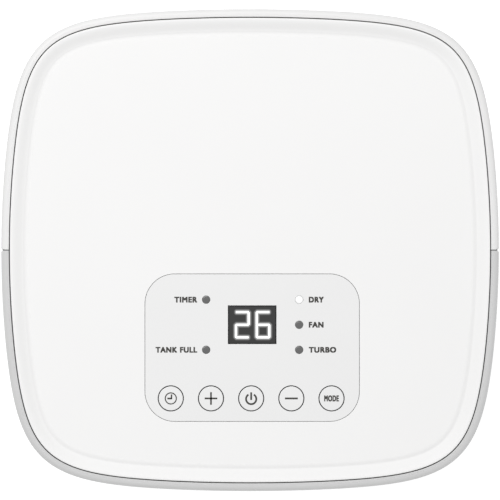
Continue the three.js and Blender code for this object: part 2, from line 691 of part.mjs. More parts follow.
function compressor() {
  const radius = COMPRESSOR_RADIUS;
  const dome = radius * 0.45;
  const shell = turned([
    [0, compressorFoot + 6],
    [radius * 0.8, compressorFoot + 6],
    [radius, compressorFoot + 16],
    [radius, compressorTop - dome],
    [radius * 0.87, compressorTop - dome * 0.45],
    [radius * 0.5, compressorTop - dome * 0.1],
    [0, compressorTop],
  ], [compressorX, compressorY], 26);
  const footRing = COMPRESSOR_RADIUS - 4;
  const angles = [0, 1, 2].map((i) => Math.PI * (1 / 2 + (2 / 3) * i));
  const feet = angles.map((angle) => (
    [compressorX + footRing * Math.cos(angle), compressorY + footRing * Math.sin(angle)]));
  const lugs = feet.map(([x, y]) => rod('z', 13, [compressorFoot, compressorFoot + 4], [x, y], 16));
  const plate = rod('z', radius * 0.82, [compressorFoot, compressorFoot + 8], [compressorX, compressorY], 24);
  const stubZ = [compressorTop - dome, compressorTop + 6];
  const stub = rod('z', PIPE_RADIUS, stubZ, [compressorX, compressorY + 12], 12);
  part('compressor', join(shell, plate, stub, ...lugs), steelBlack);
  const grommet = turned([
    [0, panFloor + CLEAR], [9, panFloor + CLEAR], [9, panFloor + 5], [6.5, panFloor + 7],
    [9, panFloor + 9], [9, compressorFoot - CLEAR], [0, compressorFoot - CLEAR],
  ], [0, 0], 16);
  feet.forEach(([x, y], i) => part(`compressor_grommet_${i + 1}`, grommet, rubber, [x, y, 0]));
}

const accumulatorX = compressorX + COMPRESSOR_RADIUS + 19;
const accumulatorTop = compressorTop - 24;
const accumulatorBottom = compressorFoot + 34;

function accumulator() {
  const radius = 15;
  const at = [accumulatorX, compressorY];
  const can = turned([
    [0, accumulatorBottom], [radius * 0.6, accumulatorBottom + 3], [radius, accumulatorBottom + 14],
    [radius, accumulatorTop - 14], [radius * 0.6, accumulatorTop - 3], [0, accumulatorTop],
  ], at, 20);
  const low = accumulatorBottom - 14;
  const elbow = pipe([
    [accumulatorX, compressorY, accumulatorBottom + 6],
    [accumulatorX, compressorY, low + 8],
    [accumulatorX - 6, compressorY, low],
    [compressorX + COMPRESSOR_RADIUS + 0.5, compressorY, low],
  ], PIPE_RADIUS, 12);
  part('accumulator', join(can, elbow), steelBlack);
}

// A finned block with the hairpin bends of its tube at both ends and a stub for each pipe.
function coil(name, [front, back], stubs) {
  const middle = (front + back) / 2;
  const block1 = block([-coilHalf, coilHalf], [front, back], [coilBottom, coilTop]);
  const rows = 4;
  const pitch = (coilTop - coilBottom - 16) / (2 * rows);
  const bends = [-1, 1].flatMap((side) => Array.from({ length: rows }, (_, i) => {
    const z = coilBottom + 8 + pitch * (2 * i + (side > 0 ? 0.5 : 1.5)) - pitch / 2;
    const x = side * (coilHalf - 1);
    return pipe([
      [x, middle, z], [x + side * (COIL_BEND - 3), middle, z + pitch * 0.1],
      [x + side * COIL_BEND, middle, z + pitch / 2],
      [x + side * (COIL_BEND - 3), middle, z + pitch * 0.9], [x, middle, z + pitch],
    ], PIPE_RADIUS, 5, 5);
  }));
  const ends = stubs.map(([side, z]) => {
    const span = [side * (coilHalf - 1), side * (coilHalf + COIL_STUB)].sort((a, b) => a - b);
    return rod('x', PIPE_RADIUS, span, [middle - STUB_FORWARD, z], 12);
  });
  part(name, join(block1, ...bends, ...ends), fins);
}

const evaporatorY = (evaporatorFront + evaporatorBack) / 2 - STUB_FORWARD;
const condenserY = (condenserFront + condenserBack) / 2 - STUB_FORWARD;
const hotZ = coilBottom + 70;
const coldZ = coilBottom + 20;
const stubX = coilHalf + COIL_STUB;

function coils() {
  coil('evaporator', [evaporatorFront, evaporatorBack], [[-1, coldZ], [1, coldZ]]);
  coil('condenser', [condenserFront, condenserBack], [[-1, hotZ], [1, coldZ - 14]]);
}

function pipes() {
  const sideX = (coilHalf + COIL_BEND + HALF_X - CUP_DEPTH) / 2;
  const below = trayBottom - 9;
  part('discharge_pipe', pipe([
    [compressorX, compressorY + 12, compressorTop + 6 + CLEAR],
    [compressorX, compressorY + 12, compressorTop + 12],
    [compressorX - 12, compressorY + 12, below - 2],
    [-stubX + 2, condenserY + 3, below],
    [-sideX, condenserY, below + 14],
    [-sideX, condenserY, hotZ - 14],
    [-stubX - 5, condenserY, hotZ],
    [-stubX - CLEAR, condenserY, hotZ],
  ], PIPE_RADIUS, 26, 6), copper);
  part('suction_pipe', pipe([
    [-stubX - CLEAR, evaporatorY, coldZ],
    [-stubX - 5, evaporatorY, coldZ],
    [-sideX, evaporatorY, coldZ - 10],
    [-sideX, evaporatorY, below + 12],
    [-stubX + 6, evaporatorY + 8, below],
    [compressorX, evaporatorY + 10, below - 1],
    [accumulatorX - 12, compressorY + 26, below - 2],
    [accumulatorX, compressorY, below - 12],
    [accumulatorX, compressorY, accumulatorTop + CLEAR],
  ], PIPE_RADIUS, 28, 6), copper);

  const drierX = sideX;
  const drierRadius = 6;
  const drierBottom = coldZ + 4;
  const drierTop = drierBottom + 50;
  const can = turned([
    [0, drierBottom], [drierRadius, drierBottom + 6], [drierRadius, drierTop - 6], [0, drierTop],
  ], [drierX, condenserY], 16);
  const tail = pipe([
    [stubX + CLEAR, condenserY, coldZ - 14], [stubX + 6, condenserY, coldZ - 14],
    [drierX, condenserY, coldZ - 6], [drierX, condenserY, drierBottom + 3],
  ], PIPE_RADIUS, 12);
  part('filter_drier', join(can, tail), copper);
  part('capillary_tube', pipe([
    [drierX, condenserY, drierTop + CLEAR],
    [drierX, condenserY + 3, drierTop + 10],
    [drierX, condenserY + 18, drierTop + 6],
    [drierX, evaporatorY, drierTop - 24],
    [drierX, evaporatorY, coldZ + 8],
    [stubX + 6, evaporatorY, coldZ],
    [stubX + 2 * CLEAR, evaporatorY, coldZ],
  ], CAPILLARY_RADIUS, 24, 6), copper);
}

const plugZ = trayBottom + 7.5;
const plugWall = outlineDepth(Math.abs(plugX), 0);

// The tray under the coils, its channel to the spout over the tank, and its outlet to the rear.
function drainTray() {
  const xs = [-coilHalf - 9, coilHalf + 9];
  const ys = [condenserFront - 4, evaporatorBack + 3];
  const basin = cut(
    block(xs, ys, [trayBottom, trayTop]),
    block(shrink(xs, 2), shrink(ys, 2), [trayBottom + 2, trayTop + 1]),
  );
  const channel = block([-7, 7], [spoutY - 7, ys[0] + 1], [trayBottom, trayBottom + 6]);
  const spout = rod('z', 6.5, [lidTop + 5, trayBottom + 3], [0, spoutY]);
  const trough = block([-5, 5], [spoutY, ys[0] + 10], [trayBottom + 2, trayBottom + 8]);
  const bore = rod('z', 4.5, [0, trayBottom + 8], [0, spoutY]);
  const outlet = rod('y', 7, [ys[1] - 1, plugWall - WALL - 1.2], [plugX, plugZ]);
  const outletBore = rod('y', PLUG_RADIUS + CLEAR, [ys[1] - 4, far], [plugX, plugZ]);
  part('drain_tray', cut(join(basin, channel, spout, outlet), trough, bore, outletBore), greyPlastic);

  const flange = rod('y', PLUG_RADIUS + 4, [plugWall - WALL - 0.8, plugWall - 0.6], [plugX, plugZ]);
  const stem = rod('y', PLUG_RADIUS, [ys[1] + 1, plugWall - 1], [plugX, plugZ]);
  const tab = block([plugX - 4, plugX + 4], [plugWall - 1, HALF_Y - 0.2], [plugZ - 1.2, plugZ + 1.2]);
  part('drain_plug', join(flange, stem, tab), rubber);
}

// ---------------------------------------------------------------- fan

// The outline of the scroll, looking along Y: a growing spiral that runs out into a duct.
function scrollShape(inward, ductEnd) {
  const steps = 36;
  const points = Array.from({ length: steps + 1 }, (_, i) => {
    const share = i / steps;
    const angle = -tongue + (1.5 * Math.PI + tongue) * share;
    const radius = scrollStart + SCROLL_GROWTH * share - inward;
    return new THREE.Vector2(radius * Math.cos(angle), fanZ + radius * Math.sin(angle));
  });
  points.push(new THREE.Vector2(ductEnd, ductBottom + inward));
  points.push(new THREE.Vector2(ductEnd, ductTop - inward));
  points.push(new THREE.Vector2(scrollStart * Math.cos(tongue), ductTop - inward));
  return new THREE.Shape(points);
}

// Extruded along Z and laid over so that the shape's own y becomes height.
function alongY(shape, [y0, y1]) {
  const geometry = new THREE.ExtrudeGeometry(shape, { depth: y1 - y0, bevelEnabled: false });
  return solid(geometry.rotateX(Math.PI / 2).translate(0, y1, 0));
}

function fanScroll() {
  const clip = prism(WALL + 6, [0, HEIGHT]);
  const outside = common(alongY(scrollShape(0, far), [scrollFront, scrollBack]), clip);
  const inside = alongY(scrollShape(SCROLL_WALL, far), [scrollFront + SCROLL_WALL, scrollBack - SCROLL_WALL]);
  const inlet = rod('y', impellerRadius - 10, [scrollBack - 5, scrollBack + 5], [0, fanZ], 32);
  const motorHole = rod('y', 12, [scrollFront - 5, scrollFront + 5], [0, fanZ]);
  part('fan_scroll', cut(outside, inside, inlet, motorHole), greyPlastic);
}

function fanImpeller() {
  const y0 = scrollFront + SCROLL_WALL + 3;
  const y1 = y0 + IMPELLER_WIDTH;
  const inner = impellerRadius - 10;
  const disc = rod('y', impellerRadius, [y0, y0 + 2], [0, fanZ], 32);
  const hub = rod('y', 9, [y0, y0 + 16], [0, fanZ]);
  const bore = rod('y', SHAFT_RADIUS + CLEAR, [y0 - 5, y1], [0, fanZ], 12);
  const band = cut(
    rod('y', impellerRadius, [y1 - 3, y1], [0, fanZ], 32),
    rod('y', inner + 1, [y1 - 5, y1 + 2], [0, fanZ], 32),
  );
  const blades = Array.from({ length: BLADES }, (_, i) => {
    const geometry = new THREE.BoxGeometry(9, y1 - y0 - 2, 1.2);
    geometry.rotateY(0.6).translate(inner + 5, 0, 0).rotateY((2 * Math.PI * i) / BLADES);
    return solid(geometry.translate(0, (y0 + y1) / 2, fanZ));
  });
  part('fan_impeller', cut(join(disc, hub, band, ...blades), bore), blackPlastic);
  part('fan_shaft', rod('y', SHAFT_RADIUS, [motorFront - 6, y0 + 14], [0, fanZ], 12), steel);
}

const bracketY = [scrollFront - CLEAR - 2.4, scrollFront - CLEAR];
const motorBack = bracketY[0] - CLEAR;
const motorFront = motorBack - MOTOR_LENGTH;

function fanMotor() {
  const can = rod('y', MOTOR_RADIUS, [motorFront + 8, motorBack], [0, fanZ], 28);
  const nose = rod('y', MOTOR_RADIUS * 0.4, [motorFront, motorFront + 9], [0, fanZ]);
  const bore = rod('y', SHAFT_RADIUS + CLEAR, [motorFront - 5, motorBack + 5], [0, fanZ], 12);
  part('fan_motor', cut(join(can, nose), bore), steel);

  const half = MOTOR_RADIUS + 12;
  const plate = block([-half, half], bracketY, [fanZ - half, fanZ + half]);
  const leg = block([-half, half], [bracketY[0] - 18, bracketY[1]], [deckTop + CLEAR, deckTop + CLEAR + 2.4]);
  const stem = [-1, 1].map((side) => (
    block([side * 30 - 9, side * 30 + 9], bracketY, [deckTop + CLEAR, fanZ - half + 1])));
  const opening = rod('y', 10, [bracketY[0] - 3, bracketY[1] + 3], [0, fanZ]);
  const channelGap = block([-9, 9], [bracketY[0] - 30, bracketY[1] + 3], [0, trayBottom + 10]);
  part('motor_bracket', cut(join(plate, ...stem, cut(leg, channelGap)), opening), steel);
}

// ---------------------------------------------------------------- grille, filter, louvre

function inletGrille() {
  const panel = common(shell([0.3, GRILLE_DEPTH], [grilleBottom, grilleTop]), grilleOpening(0));
  const frame = 6;
  const pitch = (grilleTop - grilleBottom - 2 * frame) / SLOTS;
  const bays = 2;
  const bayWidth = (2 * (grilleHalf - frame)) / bays;
  const slots = Array.from({ length: SLOTS }, (_, row) => row).flatMap((row) => (
    Array.from({ length: bays }, (_, bay) => {
      const x = -grilleHalf + frame + bay * bayWidth;
      const z = grilleBottom + frame + row * pitch;
      return block([x + 1.5, x + bayWidth - 1.5], [HALF_Y / 2, far], [z + 2, z + pitch - 2]);
    })));
  part('inlet_grille', cut(panel, ...slots), white);

  const xs = [-grilleHalf + 3, grilleHalf - 3];
  const zs = [grilleBottom + 3, grilleTop - 3];
  part('air_filter', block(xs, [filterBack - FILTER_DEPTH, filterBack], zs), filterMesh);
}

function outletLouvre() {
  const panel = common(shell([0.3, GRILLE_DEPTH], [ductBottom, ductTop]), louvreOpening(0));
  const slotY = shrink([scrollFront, scrollBack], 5);
  const [z0, z1] = shrink([ductBottom, ductTop], 5);
  const count = 6;
  const pitch = (z1 - z0) / count;
  const slots = Array.from({ length: count }, (_, i) => (
    block([HALF_X / 2, far], slotY, shrink([z0 + i * pitch, z0 + (i + 1) * pitch], 1))));
  part('outlet_louvre', cut(panel, ...slots), white);
}

// ---------------------------------------------------------------- electrical pieces

function electrics() {
  const x0 = -innerX + 30;
  const boardZ = deckTop + 8;
  const [y0, y1] = [20 - innerY, bayBack - 20];
  const plate = block([x0, x0 + 50], [y0, y1], [boardZ, boardZ + 1.6]);
  const posts = [6, 44].flatMap((dx) => [y0 + 6, y1 - 6].map((y) => (
    rod('z', 3, [deckTop + CLEAR, boardZ + 1], [x0 + dx, y], 10))));
  const relay = block([x0 + 6, x0 + 24], [y0 + 10, y0 + 28], [boardZ + 1, boardZ + 18]);
  const transformer = block([x0 + 12, x0 + 42], [y1 - 25, y1 - 1], [boardZ + 1, boardZ + 24]);
  const smoother = rod('z', 6, [boardZ + 1, boardZ + 22], [x0 + 38, y0 + 18], 14);
  part('power_board', join(plate, relay, transformer, smoother, ...posts), board);

  const canFoot = panFloor + CLEAR;
  part('run_capacitor', turned([
    [0, canFoot], [17, canFoot], [17, canFoot + 70], [14, canFoot + 74], [0, canFoot + 74],
  ], [innerX - 50, bayBack + 26], 20), greyPlastic);

  const sensorX = -coilHalf - 14;
  const sensorZ = coilTop - 62;
  const sensorY = [evaporatorFront + 2, evaporatorFront + 18];
  const sensorBoard = block([sensorX - 1.6, sensorX], sensorY, [sensorZ, sensorZ + 22]);
  const cell = block([sensorX - 5, sensorX - 1], shrink(sensorY, 4), [sensorZ + 8, sensorZ + 18]);
  part('humidity_sensor', join(sensorBoard, cell), board);

  const wallY = outlineDepth(glandX, 0);
  const body = rod('y', GLAND_RADIUS, [wallY - 14, HALF_Y - 0.2], [glandX, GLAND_Z]);
  const nut = rod('y', GLAND_RADIUS + 4, [wallY - 12, wallY - WALL - 2.5], [glandX, GLAND_Z], 6);
  const bore = rod('y', 3.5, [wallY - 20, far], [glandX, GLAND_Z], 14);
  part('cord_gland', cut(join(body, nut), bore), blackPlastic);
}

casings();
handleCup('handle_cup_left', -1);
handleCup('handle_cup_right', 1);
base();
topCover();
controls();
tankBay();
tank();
tankLid();
tankHandle();
float();
tankSwitch();
compressor();
accumulator();
coils();
pipes();
drainTray();
fanScroll();
fanImpeller();
fanMotor();
inletGrille();
outletLouvre();
electrics();

export default model;
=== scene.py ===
# %% [markdown]
# # Dressing a room dehumidifier
#
# A compact dehumidifier is a tall rounded box in two half casings, a white one
# behind and a light grey one in front, closed by a shallow dished cover with
# the controls let into it. The working parts come packed as a frame of named
# pieces in metres, with the joints already in place. This lesson leaves that
# frame where it is and makes the surfaces that people see and touch: it
# rebuilds the mouldings finely, prints the legends, and gives every piece a
# material. The frame is loaded first, because every place comes from it.

# %% Load the frame
import json
import math

import bmesh
import bpy
from mathutils import Matrix, Vector

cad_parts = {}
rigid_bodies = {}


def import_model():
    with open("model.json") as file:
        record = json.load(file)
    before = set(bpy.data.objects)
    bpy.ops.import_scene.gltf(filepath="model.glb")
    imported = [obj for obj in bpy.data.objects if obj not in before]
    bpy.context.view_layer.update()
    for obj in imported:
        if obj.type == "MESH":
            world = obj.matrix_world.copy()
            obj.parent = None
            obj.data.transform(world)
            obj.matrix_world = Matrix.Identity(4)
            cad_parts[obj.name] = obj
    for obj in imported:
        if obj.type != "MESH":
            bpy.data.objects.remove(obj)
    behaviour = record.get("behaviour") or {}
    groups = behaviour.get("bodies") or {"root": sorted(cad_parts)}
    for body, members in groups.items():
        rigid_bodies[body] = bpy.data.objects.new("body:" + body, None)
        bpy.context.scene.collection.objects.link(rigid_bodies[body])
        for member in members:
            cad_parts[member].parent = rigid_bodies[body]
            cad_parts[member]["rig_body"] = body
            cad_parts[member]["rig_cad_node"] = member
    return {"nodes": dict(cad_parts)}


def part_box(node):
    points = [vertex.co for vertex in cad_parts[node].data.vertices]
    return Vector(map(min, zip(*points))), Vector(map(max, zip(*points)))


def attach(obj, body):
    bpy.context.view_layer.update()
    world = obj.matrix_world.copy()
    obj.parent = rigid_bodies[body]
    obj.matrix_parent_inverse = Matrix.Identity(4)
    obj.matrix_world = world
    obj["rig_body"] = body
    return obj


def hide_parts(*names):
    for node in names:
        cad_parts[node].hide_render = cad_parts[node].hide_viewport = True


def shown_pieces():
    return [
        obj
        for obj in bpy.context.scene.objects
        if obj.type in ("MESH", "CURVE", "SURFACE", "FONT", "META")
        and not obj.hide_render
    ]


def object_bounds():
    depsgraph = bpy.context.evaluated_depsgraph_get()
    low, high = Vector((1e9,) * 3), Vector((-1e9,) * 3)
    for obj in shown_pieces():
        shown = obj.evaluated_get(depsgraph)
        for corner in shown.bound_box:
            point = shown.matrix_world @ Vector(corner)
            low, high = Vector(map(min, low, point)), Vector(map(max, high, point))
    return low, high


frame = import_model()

cad_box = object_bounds()
nodes = frame["nodes"]
MM = 0.001
print(len(nodes), "parts, size in mm:", [round(side / MM, 1) for side in cad_box[1] - cad_box[0]])

# %% [markdown]
# ## Camera, light and floor
#
# The picture looks straight down on the cover, so the camera hangs over the
# middle with a long lens, which keeps the tall sides out of sight. A rim as
# wide as the casing fills the frame. The look is that of a product table: an
# almost white floor, an even white surround, one large soft light behind and a
# little to the left, which is what shades the dish of the cover, and a weak
# one in front that opens the shadows.

# %% Camera
FRAME_WIDTH = 252.9 * MM  # what the picture spans at the height of the rim
CAMERA_HEIGHT = 2.6  # above the rim
SENSOR = 36

camera_data = bpy.data.cameras.new("camera")
camera_data.sensor_width = SENSOR
camera_data.lens = SENSOR * CAMERA_HEIGHT / FRAME_WIDTH
camera_data.clip_end = 60
camera = bpy.data.objects.new("camera", camera_data)
camera.location = (0, 0.05 * MM, cad_box[1].z + CAMERA_HEIGHT)
bpy.context.scene.collection.objects.link(camera)
bpy.context.scene.camera = camera
print("Lens:", round(camera_data.lens), "mm")

# %% Lights and surround
COVER_MIDDLE = Vector((0, 0, cad_box[1].z))


def softbox(name, place, size, power):
    """A square light that faces the cover's middle and is not seen itself."""
    data = bpy.data.lights.new(name, "AREA")
    data.size = size
    data.energy = power
    light = bpy.data.objects.new(name, data)
    light.location = place
    light.rotation_euler = (COVER_MIDDLE - Vector(place)).to_track_quat("-Z", "Y").to_euler()
    light.visible_camera = False
    bpy.context.scene.collection.objects.link(light)


softbox("key", (-0.45, 0.75, 1.95), 1.0, 17)
softbox("fill", (1.2, -1.5, 1.6), 1.6, 5)

surround = bpy.data.worlds.new("surround")
bpy.context.scene.world = surround
surround.use_nodes = True
background = surround.node_tree.nodes["Background"]
background.inputs["Color"].default_value = (1.0, 1.0, 1.0, 1)
background.inputs["Strength"].default_value = 0.6
bpy.context.scene.view_settings.view_transform = "Standard"
print("Lit by", [item.name for item in bpy.data.lights], "and the surround")

# %% [markdown]
# ## A small language for materials
#
# Shader maths is easier to read as sums than as a list of nodes. This class
# holds one output of a node. Adding or multiplying it adds Math nodes, and its
# one method `node` makes any other node. `Finish` starts a material, hands out
# the usual patterns, and ends in the Principled shader.

# %% Shade: arithmetic on sockets
class Shade:
    """One output of a shader node. Arithmetic on it adds Math nodes."""

    def __init__(self, tree, socket=None):
        self.tree = tree
        self.socket = socket

    def node(self, kind, settings=None, inputs=None, output=0):
        """Adds any node: its settings first, then the values or links of its sockets."""
        made = self.tree.nodes.new(kind)
        for name, value in (settings or {}).items():
            setattr(made, name, value)
        for name, value in (inputs or {}).items():
            if isinstance(value, Shade):
                self.tree.links.new(value.socket, made.inputs[name])
            else:
                made.inputs[name].default_value = value
        return Shade(self.tree, made.outputs[output])

    def maths(self, operation, *values):
        return self.node("ShaderNodeMath", {"operation": operation}, dict(enumerate(values)))

    def __add__(self, other):
        return self.maths("ADD", self, other)

    def __sub__(self, other):
        return self.maths("SUBTRACT", self, other)

    def __rsub__(self, other):
        return self.maths("SUBTRACT", other, self)

    def __mul__(self, other):
        return self.maths("MULTIPLY", self, other)

    def __truediv__(self, other):
        return self.maths("DIVIDE", self, other)

    def __pow__(self, other):
        return self.maths("POWER", self, other)

    __radd__ = __add__
    __rmul__ = __mul__

    def clamped(self):
        """Held between 0 and 1."""
        return self.maths("MINIMUM", self.maths("MAXIMUM", self, 0), 1)


# %% Finish: a material being put together
class Finish:
    """A material with the patterns that moulded, pressed and printed surfaces need."""

    def __init__(self, name):
        self.material = bpy.data.materials.new(name)
        self.material.use_nodes = True
        self.tree = self.material.node_tree
        self.shader = self.tree.nodes["Principled BSDF"]
        self.start = Shade(self.tree)
        self.place = self.start.node("ShaderNodeTexCoord", output="Object")

    def noise(self, size, detail=2.0):
        """Soft noise with blotches of about this size in metres, from 0 to 1."""
        return self.start.node("ShaderNodeTexNoise", {}, {
            "Vector": self.place, "Scale": 1 / size, "Detail": detail})

    def mixed(self, factor, first, second):
        return self.start.node("ShaderNodeMix", {"data_type": "RGBA"}, {
            0: factor, 6: first, 7: second}, output=2)

    def bump(self, height, distance):
        return self.start.node("ShaderNodeBump", {}, {"Height": height, "Distance": distance})

    def axis(self, index):
        """The X, Y or Z place on the piece, in metres."""
        return self.start.node("ShaderNodeSeparateXYZ", {}, {"Vector": self.place}, output=index)

    def end(self, **sockets):
        """Sets or links the shader's sockets, named with _ for a space."""
        for name, value in sockets.items():
            socket = self.shader.inputs[name.replace("_", " ")]
            if isinstance(value, Shade):
                self.tree.links.new(value.socket, socket)
            else:
                socket.default_value = value
        return self.material


def grey(value, warmth=0.0):
    """A near-neutral colour: warmth above 0 leans it towards yellow."""
    return (value * (1 + warmth), value, value * (1 - warmth), 1)


def toned(colour, share):
    """The same colour, darker below a share of 1 and lighter above it."""
    return tuple(channel * share for channel in colour[:3]) + (1,)


# %% [markdown]
# ## Finishes
#
# Almost everything on the outside is moulded ABS. Its mould is spark eroded,
# which leaves a very fine even grain, and its gloss and colour wander slightly
# over a hand's breadth. One function makes that for most plastics, and the
# pieces differ in colour, gloss and grain. The rim, the cover and what is faced
# with film have their own, which hold painted light and shade: the rim's top is
# painted lighter than the walls, and the cover's gutter and the sides below a film
# are painted darker as shade. Metals get their own variation: tarnish on copper,
# a spangle on zinc, orange peel on sprayed steel.

# %% Moulded plastics and rubber
CLOUD_SIZE = 55 * MM
GRAIN = 0.5 * MM
GRAIN_DEPTH = 0.012 * MM
GLOSS_WANDER = 0.14


def moulded(name, colour, roughness, grain=GRAIN, depth=GRAIN_DEPTH, mottle=0.02):
    """Injection-moulded plastic with a spark-eroded grain."""
    finish = Finish(name)
    cloud = finish.noise(CLOUD_SIZE, 3)
    specks = finish.noise(grain, 2)
    return finish.end(
        Base_Color=finish.mixed(cloud, toned(colour, 1 - mottle), colour),
        Roughness=roughness + (cloud - 0.5) * GLOSS_WANDER + (specks - 0.5) * 0.06,
        Normal=finish.bump(specks, depth),
    )


def polished_rim_painted_light(name, wall, rim, rim_height):
    """Matt walls under a rim that the mould leaves polished, with the rim's top painted lighter than the
    walls as painted light.
    """
    finish = Finish(name)
    cloud = finish.noise(CLOUD_SIZE, 3)
    # The rim's top is painted lighter than the walls, as painted light; the same mask also makes it a
    # little glossier.
    polish_and_painted_light = ((finish.axis(2) - (rim_height - 1.3 * MM)) / (0.9 * MM)).clamped()
    return finish.end(
        Base_Color=finish.mixed(polish_and_painted_light, finish.mixed(cloud, toned(wall, 0.98), wall), rim),
        Roughness=0.46 - polish_and_painted_light * 0.04 + (cloud - 0.5) * GLOSS_WANDER,
        Normal=finish.bump(finish.noise(GRAIN, 2), GRAIN_DEPTH),
    )


def film_face_painted_shade(name, colour, face_height):
    """A pale film on the face, with the sides below it painted nearly black as painted shade in the gaps
    round it.
    """
    finish = Finish(name)
    cloud = finish.noise(40 * MM, 3)
    height = finish.axis(2)
    # Below the face the colour is painted nearly black, as painted shade in the gaps.
    face_above_painted_shade = height.maths("GREATER_THAN", height, face_height - 0.5 * MM)
    film = finish.mixed(cloud, toned(colour, 0.985), colour)
    return finish.end(
        Base_Color=finish.mixed(face_above_painted_shade, grey(0.02), film),
        Roughness=0.34 + (cloud - 0.5) * 0.12,
        Normal=finish.bump(finish.noise(0.35 * MM, 2), 0.006 * MM),
    )


def rubbery(name):
    """Moulded rubber: matt, with a chalky bloom in patches."""
    finish = Finish(name)
    bloom = finish.noise(9 * MM, 4)
    return finish.end(
        Base_Color=finish.mixed(bloom, grey(0.012), grey(0.045)),
        Roughness=0.72 + bloom * 0.2,
        Normal=finish.bump(finish.noise(0.8 * MM, 3), 0.05 * MM),
    )


# %% Metals
def copper(name):
    """Drawn copper tube, brighter in places and browned in others."""
    finish = Finish(name)
    tarnish = finish.noise(22 * MM, 5)
    return finish.end(
        Base_Color=finish.mixed(tarnish, (0.78, 0.36, 0.2, 1), (0.32, 0.13, 0.07, 1)),
        Metallic=1.0,
        Roughness=0.22 + tarnish * 0.25,
        Normal=finish.bump(finish.noise(2 * MM, 3), 0.02 * MM),
    )


def sprayed_steel(name, colour):
    """Sprayed black steel with the orange peel of thick paint."""
    finish = Finish(name)
    peel = finish.noise(3.2 * MM, 2)
    dust = finish.noise(30 * MM, 4)
    return finish.end(
        Base_Color=finish.mixed(dust, colour, grey(0.06)),
        Roughness=0.24 + dust * 0.22,
        Normal=finish.bump(peel, 0.09 * MM),
    )


def zinc_plate(name):
    """Galvanised sheet: crystals of zinc that each shine a little differently."""
    finish = Finish(name)
    crystals = finish.start.node("ShaderNodeTexVoronoi", {}, {
        "Vector": finish.place, "Scale": 1 / (7 * MM)}, output="Color")
    tone = finish.start.node("ShaderNodeSeparateColor", {}, {"Color": crystals})
    return finish.end(
        Base_Color=finish.mixed(tone, grey(0.46), grey(0.64)),
        Metallic=1.0,
        Roughness=0.26 + tone * 0.22,
        Normal=finish.bump(finish.noise(1.2 * MM, 2), 0.015 * MM),
    )


def coil_fins(name, pitch=1.8 * MM):
    """Thin aluminium fins along X: bright edges, with painted shade in the gaps between."""
    finish = Finish(name)
    across = finish.axis(0) / pitch
    stripe = across.maths("FRACT", across)
    edge = stripe.maths("LESS_THAN", stripe, 0.4)
    grime = finish.noise(35 * MM, 4)
    return finish.end(
        # The gaps between the fins are painted near black, as painted shade.
        Base_Color=finish.mixed(edge, grey(0.06), finish.mixed(grime, grey(0.72), grey(0.5))),
        Metallic=0.9,
        Roughness=0.3 + grime * 0.2,
        Normal=finish.bump(edge, 0.5 * MM),
    )


# %% Clear, glowing and other finishes
def clear_plastic(name, tint):
    """Translucent polypropylene, as water tanks are blown in."""
    finish = Finish(name)
    haze = finish.noise(40 * MM, 4)
    return finish.end(
        Base_Color=finish.mixed(haze, tint, grey(0.86)),
        Transmission_Weight=0.75,
        IOR=1.45,
        Roughness=0.16 + haze * 0.18,
        Normal=finish.bump(finish.noise(12 * MM, 2), 0.15 * MM),
    )


def circuit_board(name):
    """Green solder resist over copper tracks that run in short square steps."""
    finish = Finish(name)
    tracks = finish.start.node("ShaderNodeTexBrick", {"offset": 0.5}, {
        "Vector": finish.place, "Scale": 1 / (11 * MM), "Mortar Size": 0.045,
        "Color1": (0, 0, 0, 1), "Color2": (0, 0, 0, 1), "Mortar": (1, 1, 1, 1)}, output="Color")
    track = finish.start.node("ShaderNodeSeparateColor", {}, {"Color": tracks})
    return finish.end(
        Base_Color=finish.mixed(track, (0.012, 0.11, 0.045, 1), (0.03, 0.22, 0.08, 1)),
        Roughness=0.3 + track * 0.12,
        Normal=finish.bump(track, 0.05 * MM),
    )


def woven_filter(name, pitch=1.6 * MM):
    """A fine dust screen: dark threads crossing, with the open holes between painted near black as the
    shade behind them.
    """
    finish = Finish(name)
    across = finish.axis(0) / pitch
    up = finish.axis(2) / pitch
    thread_up = across.maths("LESS_THAN", across.maths("FRACT", across), 0.32)
    thread_across = up.maths("LESS_THAN", up.maths("FRACT", up), 0.32)
    thread = across.maths("MAXIMUM", thread_up, thread_across)
    dust = finish.noise(14 * MM, 4)
    return finish.end(
        # The holes between the threads are painted near black, as painted shade.
        Base_Color=finish.mixed(thread, grey(0.008), finish.mixed(dust, grey(0.035), grey(0.08))),
        Roughness=0.75 + dust * 0.2,
        Normal=finish.bump(thread, 0.3 * MM),
    )


def printed_ink(name, colour):
    """Screen-printed ink, very slightly uneven in its cover."""
    finish = Finish(name)
    cover = finish.noise(0.9 * MM, 3)
    return finish.end(
        Base_Color=finish.mixed(cover, colour, toned(colour, 1.35)),
        Roughness=0.42 + cover * 0.12,
    )


def lit_lamp(name, centre, radius):
    """A small lamp behind a white lens: brightest in the middle, weaker towards the edge."""
    finish = Finish(name)
    across = finish.axis(0) - centre.x
    up = finish.axis(1) - centre.y
    distance = (across * across + up * up) / (radius * radius)
    fade = distance.maths("MAXIMUM", 1 - distance, 0)
    return finish.end(
        Base_Color=grey(0.8),
        Roughness=0.3 + distance * 0.1,
        Emission_Color=finish.mixed(fade, grey(0.0), grey(0.32)),
        Emission_Strength=1.0,
    )


def glowing(name, colour, strength):
    """A lit segment: its light is a touch weaker in cloudy spots."""
    finish = Finish(name)
    cloud = finish.noise(1.5 * MM, 2)
    return finish.end(
        Base_Color=colour,
        Roughness=0.3,
        Emission_Color=finish.mixed(cloud * 0.3, colour, grey(0.8)),
        Emission_Strength=strength,
    )


